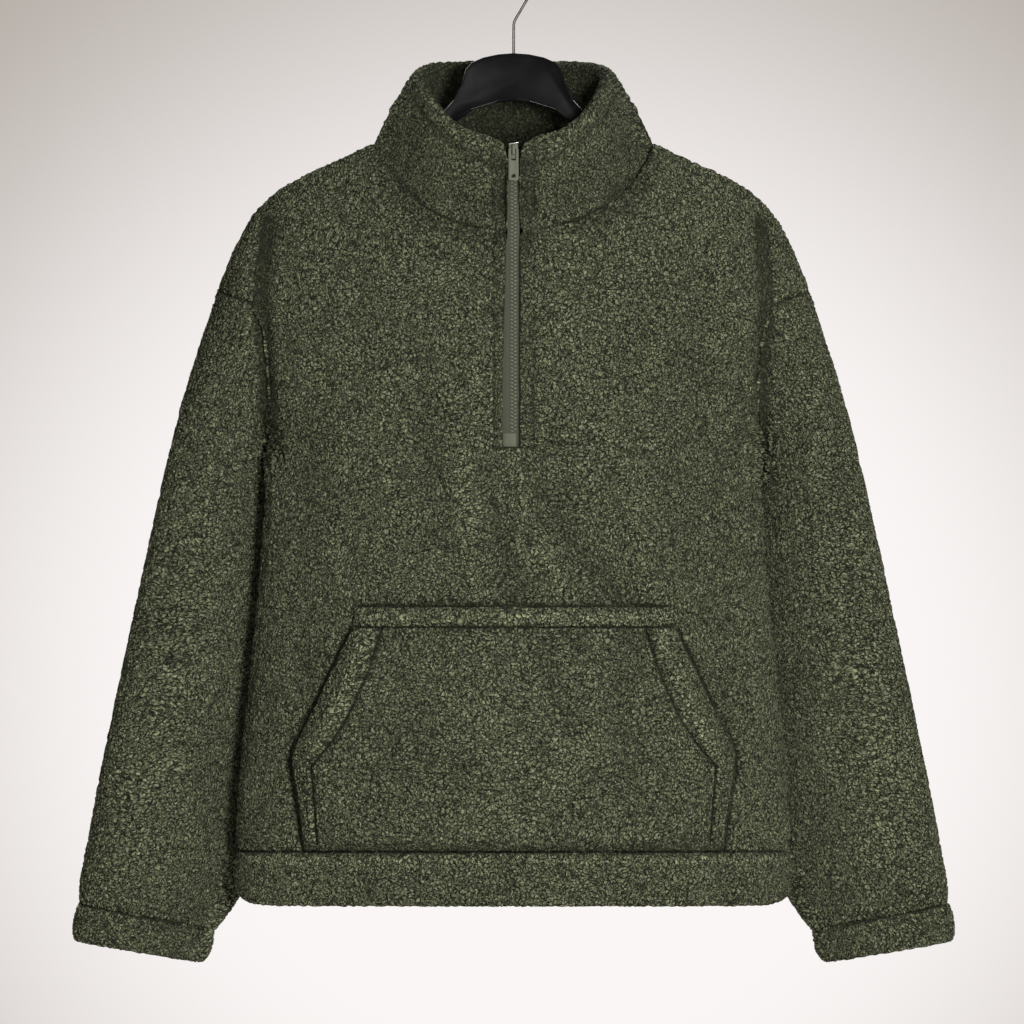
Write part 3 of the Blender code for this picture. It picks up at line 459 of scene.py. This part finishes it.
roomValues = {
    "rim": 0.45,              # room for the pile on the rim of a piece
    "rimReach": 0.004,
    "placket": 0.45,          # room beside the zip
    "placketWidth": 0.018,
    "placketTop": -0.18,
    "placketBottom": -0.452,
    "armpit": (0.229, -0.458),    # x, z of the gap between body and sleeve
    "armpitMore": 2.2,        # how much longer the pile stands there
    "armpitReach": 0.022,
}

slitValues = {
    "edge": 0.0050,           # x of the slit's edge
    "reach": 0.0130,          # how far from the edge the cloth gives way
    "top": -0.235,
    "fullAt": 0.150,          # how far below the top it stands fully open
    "bottom": -0.4505,
    "open": 0.0045,
    "cornerFrom": -0.187,     # the collar's corners beside the slider
    "cornerRise": 0.018,
    "cornerReach": 0.020,
    "cornerKept": 0.004,
    "cornerOut": 0.0052,
    "cornerDown": 0.0030,
}

# half width and half depth of the garment where a piece of this kind runs round it
pileSpread = {
    "torso": (0.24, 0.055),
    "front": (0.24, 0.055),
    "loop": (0.12, 0.060),
    "sleeve": (0.06, 0.040),
}

# the middle of the body, which its outer faces look away from
torsoCore = {"narrower": 0.7, "halfWidth": 0.16, "top": -0.26}


def insidePoint(kind, places):
    core = places.copy()
    if kind == "torso":
        halfWidth = torsoCore["halfWidth"]
        core[:, 0] = np.clip(places[:, 0] * torsoCore["narrower"], -halfWidth, halfWidth)
        core[:, 1] = 0
        core[:, 2] = np.minimum(places[:, 2], torsoCore["top"])
    elif kind == "sleeve":
        middle = np.array(sleeveMiddle)[::-1]
        for axis in (0, 1):
            core[:, axis] = np.interp(places[:, 2], middle[:, 2], middle[:, axis])
        core[:, 0] *= np.sign(places[:, 0])
        core[:, 2] = np.minimum(places[:, 2], middle[-1, 2])
    elif kind == "front":
        core[:, 1] = 0
    return core


def facesOut(mesh, kind):
    places, normals = facePlaces(mesh)
    if kind == "loop":
        return np.ones(len(places), bool)
    outward = places - insidePoint(kind, places)
    outward /= np.maximum(np.linalg.norm(outward, axis=1, keepdims=True), 1e-9)
    return (outward * normals).sum(axis=1) > meshValues["outward"]


def pilePlaces(kind, places):
    # the place on the piece laid out flat: x grows on round the side, so clumps keep their size there
    middle = np.zeros((len(places), 3))
    halfWidth, halfDepth = pileSpread[kind]
    if kind == "sleeve":
        middle = insidePoint(kind, places)
    across = places - middle
    laidOut = places.copy()
    laidOut[:, 0] = across[:, 0] * (1 + (halfDepth - np.abs(across[:, 1])) / halfWidth)
    laidOut[:, 1] = 0.5 * places[:, 1] + 0.2 * np.sign(places[:, 0]) * (kind == "sleeve")
    return laidOut


def distanceToLine(flat, line):
    nearest = np.full(len(flat), 1.0)
    for start, end in zip(line[:-1], line[1:]):
        start, end = np.array(start), np.array(end)
        step = end - start
        share = np.clip(((flat - start) @ step) / (step @ step), 0, 1)
        nearest = np.minimum(nearest, np.linalg.norm(flat - start - share[:, None] * step, axis=1))
    return nearest


def outerPoints(mesh, out):
    # 1 on the outer face, less on its rim, 0 on the inner face
    outer = np.zeros(len(mesh.vertices), bool)
    inner = np.zeros(len(mesh.vertices), bool)
    for polygon, isOut in zip(mesh.polygons, out):
        points = outer if isOut else inner
        for index in polygon.vertices:
            points[index] = True
    return np.where(outer, np.where(inner, roomValues["rim"], 1.0), 0.0)


def shapeFront(mesh, lines, free):
    # moves the front's outer points in at a valley or a line of stitching, and out at a ridge; it returns
    # painted shade for those going in and painted highlight for those going out
    places = vertexPlaces(mesh)
    facing = np.clip(-shadeValues["facing"] * vertexNormals(mesh)[:, 1], 0, 1)
    facing *= np.minimum(1, free / roomValues["rim"])
    flat = places[:, (0, 2)]
    dark = np.zeros(len(places))
    light = np.zeros(len(places))
    move = np.zeros(len(places))
    for line in lines:
        near = distanceToLine(flat, line["points"])
        if line["sides"] == "both":
            near = np.minimum(near, distanceToLine(flat * (-1, 1), line["points"]))
        bell = np.exp(-((near / line["width"]) ** 2)) * facing
        move += bell * line["height"]
        # painted shade for a valley, painted highlight for a crest
        if line["height"] < 0:
            steepness = -line["height"] / (line["width"] + shadeValues["valleySoft"])
            dark = np.maximum(dark, bell * min(line["darkest"], shadeValues["valleyGain"] * steepness))
        else:
            gain = shadeValues["paintedHighlightGain"] * line["height"] / line["width"]
            light = np.maximum(light, bell * min(shadeValues["crestMost"], gain))
    places[:, 1] -= move
    moveVertices(mesh, places)
    return dark - light * np.clip(1 - dark / shadeValues["crestGone"], 0, 1)


def openSlit(mesh):
    # the left edge of the slit stands away from the zip, most at its lower end
    places = vertexPlaces(mesh)
    x, y, z = places.T.copy()
    edge = slitValues["edge"]
    fromEdge = np.clip((-edge - x) / slitValues["reach"], 0, 1)
    down = np.clip((slitValues["top"] - z) / slitValues["fullAt"], 0, 1) * (z > slitValues["bottom"])
    beside = (x < -edge) & (y < 0)
    places[:, 0] -= np.where(beside, slitValues["open"] * down * (1 - fromEdge), 0)
    # the collar's two corners curl away from the slider
    x = places[:, 0].copy()
    up = np.clip((z - slitValues["cornerFrom"]) / slitValues["cornerRise"], 0, 1) * (y < 0)
    near = np.clip(1 - (np.abs(x) - edge) / slitValues["cornerReach"], 0, 1)
    corner = up * near * (np.abs(x) > slitValues["cornerKept"])
    places[:, 0] += np.sign(x) * slitValues["cornerOut"] * corner
    places[:, 2] -= slitValues["cornerDown"] * corner
    moveVertices(mesh, places)


def insideCollar(mesh):
    # how deep a point lies inside the neck, where little light comes; it is painted with shade there
    places = vertexPlaces(mesh)
    normals = vertexNormals(mesh)
    inward = -(places[:, 0] * normals[:, 0] + places[:, 1] * normals[:, 1])
    inward /= np.maximum(np.hypot(places[:, 0], places[:, 1]), 0.01)
    return np.clip(inward * shadeValues["neckGain"], 0, shadeValues["neckMost"])


def pileRoom(mesh, free):
    # how freely the pile stands: less beside a seam, more where body and sleeve press it together; where
    # it has little room the fleece gets painted shade
    places = vertexPlaces(mesh)
    held = free < 0.9
    room = free.copy()
    if held.any():
        tree = KDTree(int(held.sum()))
        for index in np.flatnonzero(held):
            tree.insert(places[index], index)
        tree.balance()
        for index in np.flatnonzero(~held):
            toSeam = tree.find(places[index])[2]
            room[index] = min(1.0, roomValues["rim"] + toSeam / roomValues["rimReach"])
    x, y, z = places.T
    placket = (np.abs(x) < roomValues["placketWidth"]) & (y < 0)
    placket &= (z > roomValues["placketBottom"]) & (z < roomValues["placketTop"])
    room = np.where(placket, room * roomValues["placket"], room)
    toArmpit = np.hypot(np.abs(x) - roomValues["armpit"][0], z - roomValues["armpit"][1])
    return room * (1 + roomValues["armpitMore"] * np.exp(-((toArmpit / roomValues["armpitReach"]) ** 2)))


def makeFleecePiece(nodeName, values, finish, group):
    piece = copyNode(nodeName, nodeName + "_sherpa")
    # the cut edges stay sharp, so that two pieces still meet at their seam
    editPiece(piece)
    bpy.ops.mesh.select_mode(type="EDGE")
    bpy.ops.mesh.select_all(action="DESELECT")
    bpy.ops.mesh.edges_select_sharp(sharpness=math.radians(meshValues["creaseAngle"]))
    bpy.ops.transform.edge_crease(value=1.0)
    leaveEdit()
    addModifier(piece, "SUBSURF", levels=1, render_levels=1)
    applyModifiers(piece)
    mesh = piece.data
    selectFaces(mesh, facesOut(mesh, values["inside"]))
    editPiece(piece)
    bpy.ops.mesh.subdivide(number_cuts=values["cuts"], smoothness=0.0)
    bpy.ops.mesh.vertices_smooth(factor=meshValues["smoothing"], repeat=meshValues["smoothingRounds"])
    leaveEdit()
    free = outerPoints(mesh, facesOut(mesh, values["inside"]))
    lines = shapedLines.get(nodeName, shapedLines.get(nodeName.split("_")[0], ()))
    shade = shapeFront(mesh, lines, free)
    # the pile is held down in a line of stitching, and a little on a crest, and there it also gets
    # painted shade
    pressedAndPaintedShade = shadeValues["pressedInValley"] * np.clip(shade, 0, 1)
    pressedAndPaintedShade += shadeValues["pressedOnCrest"] * np.clip(-shade, 0, 1)
    room = pileRoom(mesh, free) * (1 - pressedAndPaintedShade)
    # the inside of the collar gets painted shade
    if nodeName == "collar":
        shade = np.maximum(shade, insideCollar(mesh))
    for name, amounts in (("paintedShadeAndLight", shade), ("pileRoom", room)):
        attribute = mesh.attributes.new(name, "FLOAT", "POINT")
        attribute.data.foreach_set("value", amounts)
    attribute = mesh.attributes.new("pilePlace", "FLOAT_VECTOR", "POINT")
    attribute.data.foreach_set("vector", pilePlaces(values["inside"], vertexPlaces(mesh)).ravel())
    if nodeName in ("front_panel", "collar"):
        openSlit(mesh)
    addModifier(piece, "NODES", node_group=group)
    applyModifiers(piece)
    shadeSmooth(piece)
    mesh.materials.append(finish)
    handOver(piece, "garment", "fleece", nodeName)
    print("made", piece.name, "with", sum(len(p.vertices) - 2 for p in mesh.polygons), "triangles")


fleece = makeFleece()
pileGroup = makePileGroup()
for nodeName, values in clothPieces.items():
    makeFleecePiece(nodeName, values, fleece, pileGroup)


zipValues = {
    "tapeDark": (0.022, 0.027, 0.014),
    "tapeLight": (0.050, 0.057, 0.032),
    "toothPitch": 0.0034,
    "toothLength": 0.0034,
    "toothRadius": 0.00070,
    "toothAside": 0.0015,     # how far from the middle a side's teeth sit
    "toothOut": 0.0007,       # how far they stand out of the tape
    "toothLean": 0.25,
    "toothDark": (0.078, 0.086, 0.056),
    "toothLight": (0.120, 0.130, 0.092),
    "top": -0.196,
    "bottom": -0.4375,
    "tackTop": -0.4385,
    "tackPitch": 0.0010,
    "tackStitches": 12,
    "tackWidth": 0.0120,
    "tackMiddle": -0.0035,
    "tackThread": 0.56,       # radius of a stitch as a share of the pitch
    "tackOut": 0.0005,
    "tackDark": (0.050, 0.056, 0.032),
    "tackLight": (0.095, 0.104, 0.068),
    "edgePlace": (0.0002, -0.0598, -0.1722),    # the bare edge along the slider's top
    "edgeSize": (0.0092, 0.0026, 0.0009),
    "edgeTilt": -9,
    "edgeDark": (0.55, 0.55, 0.53),
    "edgeLight": (0.85, 0.85, 0.83),
    "paintDark": (0.060, 0.066, 0.043),
    "paintLight": (0.088, 0.094, 0.065),
    "sliderBevel": 0.0004,
    "pullBevel": 0.0002,
}


def makeTape():
    finish, tree, shader = newFinish("zipTapeWeave", 0.85)
    place = tree.nodes.new("ShaderNodeTexCoord").outputs["Object"]
    columns = addNode(tree, "ShaderNodeTexWave", {"Scale": 260.0, "Distortion": 0.4}, bands_direction="X")
    tree.links.new(place, columns.inputs["Vector"])
    rows = addNode(tree, "ShaderNodeTexWave", {"Scale": 330.0, "Distortion": 0.3}, bands_direction="Z")
    tree.links.new(place, rows.inputs["Vector"])
    weave = mathNode(tree, "MULTIPLY", columns.outputs["Fac"], rows.outputs["Fac"])
    colour = mixColours(tree, weave, zipValues["tapeDark"], zipValues["tapeLight"])
    tree.links.new(colour, shader.inputs["Base Color"])
    addBump(tree, shader, weave, 0.5, 0.0003)
    piece = copyNode("zip_tape", "zip_tape_woven")
    addModifier(piece, "SUBSURF", levels=2, render_levels=2, subdivision_type="SIMPLE")
    applyModifiers(piece)
    shadeSmooth(piece, 40)
    piece.data.materials.append(finish)
    handOver(piece, "garment", "tape", "zip_tape")
    return piece


def makeTeeth(tape):
    finish, tree, shader = newFinish("zipCoil", 0.45)
    place = tree.nodes.new("ShaderNodeTexCoord").outputs["Object"]
    shades = noiseNode(tree, place, 0.004).outputs[0]
    colour = mixColours(tree, shades, zipValues["toothDark"], zipValues["toothLight"])
    tree.links.new(colour, shader.inputs["Base Color"])
    bpy.ops.mesh.primitive_uv_sphere_add(segments=8, ring_count=5, radius=1)
    tooth = bpy.context.object
    radius = zipValues["toothRadius"]
    shape = vertexPlaces(tooth.data) * (zipValues["toothLength"] / 2, radius * 1.3, radius)
    faces = [tuple(p.vertices) for p in tooth.data.polygons]
    bpy.data.objects.remove(tooth)
    points, polygons = [], []
    count = int((zipValues["top"] - zipValues["bottom"]) / zipValues["toothPitch"])
    for k in range(count * 2):
        z = zipValues["top"] - (k / 2) * zipValues["toothPitch"]
        hit = tape.ray_cast(Vector((0, -0.2, z)), Vector((0, 1, 0)))
        if not hit[0]:
            continue
        side = -1 if k % 2 else 1
        middle = np.array([side * zipValues["toothAside"], hit[1].y - zipValues["toothOut"], z])
        lean = shape.copy()
        lean[:, 2] += lean[:, 0] * zipValues["toothLean"] * side
        polygons += [tuple(len(points) + index for index in face) for face in faces]
        points += [tuple(p) for p in lean + middle]
    mesh = bpy.data.meshes.new("zip_teeth")
    mesh.from_pydata(points, [], polygons)
    teeth = bpy.data.objects.new("zip_teeth", mesh)
    bpy.context.scene.collection.objects.link(teeth)
    shadeSmooth(teeth)
    mesh.materials.append(finish)
    handOver(teeth, "garment", "tape")
    print("made zip teeth:", count * 2)


def makeBarTack(tape):
    # a block of close stitches over the end of the zip
    finish, tree, shader = newFinish("tackThread", 0.7)
    place = tree.nodes.new("ShaderNodeTexCoord").outputs["Object"]
    twist = addNode(tree, "ShaderNodeTexWave", {"Scale": 700.0, "Distortion": 1.0},
                    bands_direction="DIAGONAL")
    tree.links.new(place, twist.inputs["Vector"])
    colour = mixColours(tree, twist.outputs["Fac"], zipValues["tackDark"], zipValues["tackLight"])
    tree.links.new(colour, shader.inputs["Base Color"])
    radius = zipValues["tackPitch"] * zipValues["tackThread"]
    stitches = []
    for k in range(zipValues["tackStitches"]):
        z = zipValues["tackTop"] - k * zipValues["tackPitch"]
        hit = tape.ray_cast(Vector((0, -0.2, z)), Vector((0, 1, 0)))
        middle = (zipValues["tackMiddle"], hit[1].y - zipValues["tackOut"], z)
        bpy.ops.mesh.primitive_cylinder_add(vertices=10, radius=radius, depth=zipValues["tackWidth"],
                                            location=middle, rotation=(0, math.radians(90), 0))
        stitches.append(bpy.context.object)
    piece = stitches[0]
    selectOnly(piece)
    for stitch in stitches:
        stitch.select_set(True)
    bpy.ops.object.join()
    piece.name = "zip_bar_tack"
    bpy.ops.object.transform_apply(location=True, rotation=True, scale=True)
    addModifier(piece, "BEVEL", width=0.0002, segments=2, limit_method="ANGLE",
                angle_limit=math.radians(40))
    applyModifiers(piece)
    shadeSmooth(piece, 60)
    piece.data.materials.append(finish)
    handOver(piece, "garment", "tape")


def makeSliderEdge():
    # the bare metal that shows along the slider's top
    finish, tree, shader = newFinish("bareZipMetal", 0.25, 1.0)
    place = tree.nodes.new("ShaderNodeTexCoord").outputs["Object"]
    wear = noiseNode(tree, place, 0.0012, 3.0).outputs[0]
    colour = mixColours(tree, wear, zipValues["edgeDark"], zipValues["edgeLight"])
    tree.links.new(colour, shader.inputs["Base Color"])
    bpy.ops.mesh.primitive_cube_add(size=1, location=zipValues["edgePlace"], scale=zipValues["edgeSize"],
                                    rotation=(0, math.radians(zipValues["edgeTilt"]), 0))
    piece = bpy.context.object
    piece.name = "zip_slider_edge"
    bpy.ops.object.transform_apply(location=True, rotation=True, scale=True)
    addModifier(piece, "BEVEL", width=0.0004, segments=3, limit_method="ANGLE",
                angle_limit=math.radians(40))
    applyModifiers(piece)
    shadeSmooth(piece, 50)
    piece.data.materials.append(finish)
    handOver(piece, "garment", "painted_zip")


def makePaintedMetal():
    finish, tree, shader = newFinish("paintedZipMetal", 0.55)
    place = tree.nodes.new("ShaderNodeTexCoord").outputs["Object"]
    shader.inputs["Specular IOR Level"].default_value = 0.14
    grain = noiseNode(tree, place, 0.0012, 3.0).outputs[0]
    colour = mixColours(tree, grain, zipValues["paintDark"], zipValues["paintLight"])
    tree.links.new(colour, shader.inputs["Base Color"])
    addBump(tree, shader, grain, 0.15, 0.0001)
    return finish


def makeHardPiece(nodeName, pieceName, finish, body, slotName, width):
    piece = copyNode(nodeName, pieceName)
    editPiece(piece)
    bpy.ops.mesh.select_all(action="SELECT")
    bpy.ops.mesh.dissolve_limited(angle_limit=math.radians(3))
    leaveEdit()
    addModifier(piece, "BEVEL", width=width, segments=2, limit_method="ANGLE",
                angle_limit=math.radians(35), use_clamp_overlap=True)
    applyModifiers(piece)
    shadeSmooth(piece, 45)
    piece.data.materials.append(finish)
    handOver(piece, body, slotName, nodeName)


tape = makeTape()
makeTeeth(tape)
makeBarTack(tape)
makeSliderEdge()
zipPaint = makePaintedMetal()
makeHardPiece("zip_slider", "zip_slider_painted", zipPaint, "garment", "painted_zip",
              zipValues["sliderBevel"])
makeHardPiece("zip_pull", "zip_pull_painted", zipPaint, "zip_pull", "painted_zip",
              zipValues["pullBevel"])
print("made the zip")


hangerValues = {
    "rim": 0.0035,            # width of the raised rim round the plate
    "sink": 0.0012,
    "edge": 0.0009,           # width of the bevelled edge that gets a painted highlight
    "dark": (0.0020, 0.0020, 0.0022),
    "light": (0.0042, 0.0042, 0.0042),
    "rimHighlightDark": (0.060, 0.060, 0.060),
    "rimHighlightLight": (0.170, 0.170, 0.168),
    "wireDark": (0.030, 0.030, 0.030),
    "wireLight": (0.080, 0.077, 0.074),
}


def makeRimHighlightFinish():
    # the bevelled edge of the plastic, lighter in colour as a painted highlight
    finish, tree, shader = newFinish("paintedRimHighlight", 0.35)
    place = tree.nodes.new("ShaderNodeTexCoord").outputs["Object"]
    rimHighlightNoise = noiseNode(tree, place, 0.006, 3.0).outputs[0]
    colour = mixColours(tree, remap(tree, rimHighlightNoise, 0.3, 0.7), hangerValues["rimHighlightDark"],
                        hangerValues["rimHighlightLight"])
    tree.links.new(colour, shader.inputs["Base Color"])
    return finish


def makeHanger():
    finish, tree, shader = newFinish("blackPlastic", 0.45)
    shader.inputs["Specular IOR Level"].default_value = 0.04
    place = tree.nodes.new("ShaderNodeTexCoord").outputs["Object"]
    grain = noiseNode(tree, place, 0.0009, 2.0).outputs[0]
    wear = noiseNode(tree, place, 0.02, 4.0).outputs[0]
    colour = mixColours(tree, remap(tree, wear, 0.35, 0.7), hangerValues["dark"], hangerValues["light"])
    tree.links.new(colour, shader.inputs["Base Color"])
    tree.links.new(remap(tree, grain, 0.2, 0.8, 0.36, 0.52), shader.inputs["Roughness"])
    addBump(tree, shader, grain, 0.2, 0.0001)
    piece = copyNode("hanger", "hanger_moulded")
    editPiece(piece)
    bpy.ops.mesh.select_all(action="SELECT")
    bpy.ops.mesh.dissolve_limited(angle_limit=math.radians(2))
    leaveEdit()
    normals = facePlaces(piece.data)[1]
    selectFaces(piece.data, np.abs(normals[:, 1]) > 0.98)
    editPiece(piece)
    bpy.ops.mesh.inset(thickness=hangerValues["rim"], depth=-hangerValues["sink"])
    leaveEdit()
    piece.data.materials.append(finish)
    piece.data.materials.append(makeRimHighlightFinish())
    addModifier(piece, "BEVEL", width=hangerValues["edge"], segments=2, limit_method="ANGLE",
                angle_limit=math.radians(50), material=1)
    applyModifiers(piece)
    for face in piece.data.polygons:
        if face.normal.z < -0.1:          # the lower edge, turned from the light, gets no painted highlight
            face.material_index = 0
    shadeSmooth(piece, 35)
    handOver(piece, "garment", "plastic", "hanger")


def makeHook():
    finish, tree, shader = newFinish("darkChromeWire", 0.30, 1.0)
    place = tree.nodes.new("ShaderNodeTexCoord").outputs["Object"]
    streaks = noiseNode(tree, place, 0.003, 3.0).outputs[0]
    colour = mixColours(tree, streaks, hangerValues["wireDark"], hangerValues["wireLight"])
    tree.links.new(colour, shader.inputs["Base Color"])
    tree.links.new(remap(tree, streaks, 0.3, 0.7, 0.26, 0.40), shader.inputs["Roughness"])
    piece = copyNode("hanger_hook", "hanger_hook_wire")
    addModifier(piece, "SUBSURF", levels=2, render_levels=2)
    applyModifiers(piece)
    shadeSmooth(piece, 60)
    piece.data.materials.append(finish)
    handOver(piece, "garment", "wire", "hanger_hook")


makeHanger()
makeHook()
print("made the hanger")


studioValues = {
    "floorSize": 3.0,
    "floorLevel": -1.30,
    "wallColour": (0.955, 0.920, 0.912),
    "wallShade": (0.455, 0.412, 0.374),
    "ambient": 0.26,
    "floorColour": (0.86, 0.83, 0.80),
    "brightest": (0.05, -0.35),    # where the wall is lightest, in half frame widths from the middle
    "shadeFrom": 0.65,
    "shadeTo": 1.9,
    "cameraAway": 14.0,
    "frameWidth": 0.942,
    "frameMiddle": (-0.0014, -0.510),
}

# name, power, size, place, what it aims at
studioLights = (
    ("keyLight", 132.0, 0.8, (1.0, -2.80, -0.10), (0, 0, -0.56)),
    ("topLight", 5.0, 1.2, (0.2, -0.5, 1.1), (0, 0, -0.3)),
    ("fillLight", 11.0, 2.0, (-1.8, -1.8, -0.2), (0, 0, -0.5)),
    ("backLight", 115.0, 2.0, (-0.9, 2.4, 0.6), (0, 0, -0.5)),
)


def addLight(name, power, size, place, aim):
    bpy.ops.object.light_add(type="AREA", location=place)
    light = bpy.context.object
    light.name = name
    light.data.energy = power
    light.data.size = size
    light.rotation_euler = (Vector(aim) - Vector(place)).to_track_quat("-Z", "Y").to_euler()


def makeStudio():
    bpy.ops.mesh.primitive_plane_add(size=studioValues["floorSize"],
                                     location=(0, 0, studioValues["floorLevel"]))
    floor = bpy.context.object
    floor.name = "studio_floor"
    bpy.ops.object.transform_apply(location=True, rotation=False, scale=False)
    finish, tree, shader = newFinish("paleFloor", 0.8)
    shader.inputs["Base Color"].default_value = (*studioValues["floorColour"], 1)
    floor.data.materials.append(finish)
    world = bpy.data.worlds.new("paleStudio")
    bpy.context.scene.world = world
    world.use_nodes = True
    tree = world.node_tree
    back = tree.nodes["Background"]
    back.inputs["Color"].default_value = (*studioValues["wallColour"], 1)
    back.inputs["Strength"].default_value = studioValues["ambient"]
    seen = addNode(tree, "ShaderNodeBackground", {"Strength": 1.0})
    direction = tree.nodes.new("ShaderNodeTexCoord").outputs["Generated"]
    away = addNode(tree, "ShaderNodeVectorMath", operation="DISTANCE")
    tree.links.new(direction, away.inputs[0])
    reach = studioValues["frameWidth"] / 2 / studioValues["cameraAway"]
    x, z = studioValues["brightest"]
    away.inputs[1].default_value = (x * reach, 1.0, z * reach)
    # painted shade on the wall seen by the camera, darker towards the frame's corners
    rim = remap(tree, away.outputs["Value"], studioValues["shadeFrom"] * reach,
                studioValues["shadeTo"] * reach)
    wall = mixColours(tree, rim, studioValues["wallColour"], studioValues["wallShade"])
    tree.links.new(wall, seen.inputs[0])
    path = tree.nodes.new("ShaderNodeLightPath")
    mix = tree.nodes.new("ShaderNodeMixShader")
    tree.links.new(path.outputs["Is Camera Ray"], mix.inputs[0])
    tree.links.new(back.outputs[0], mix.inputs[1])
    tree.links.new(seen.outputs[0], mix.inputs[2])
    tree.links.new(mix.outputs[0], tree.nodes["World Output"].inputs[0])
    for light in studioLights:
        addLight(*light)
    bpy.context.scene.view_settings.view_transform = "Standard"


def makeCamera():
    data = bpy.data.cameras.new("photoCamera")
    camera = bpy.data.objects.new("photoCamera", data)
    bpy.context.scene.collection.objects.link(camera)
    x, z = studioValues["frameMiddle"]
    camera.location = (x, -studioValues["cameraAway"], z)
    camera.rotation_euler = (math.radians(90), 0, 0)
    data.sensor_width = 36.0
    data.lens = 36.0 * studioValues["cameraAway"] / studioValues["frameWidth"]
    bpy.context.scene.camera = camera


makeStudio()
makeCamera()
print("made the studio")
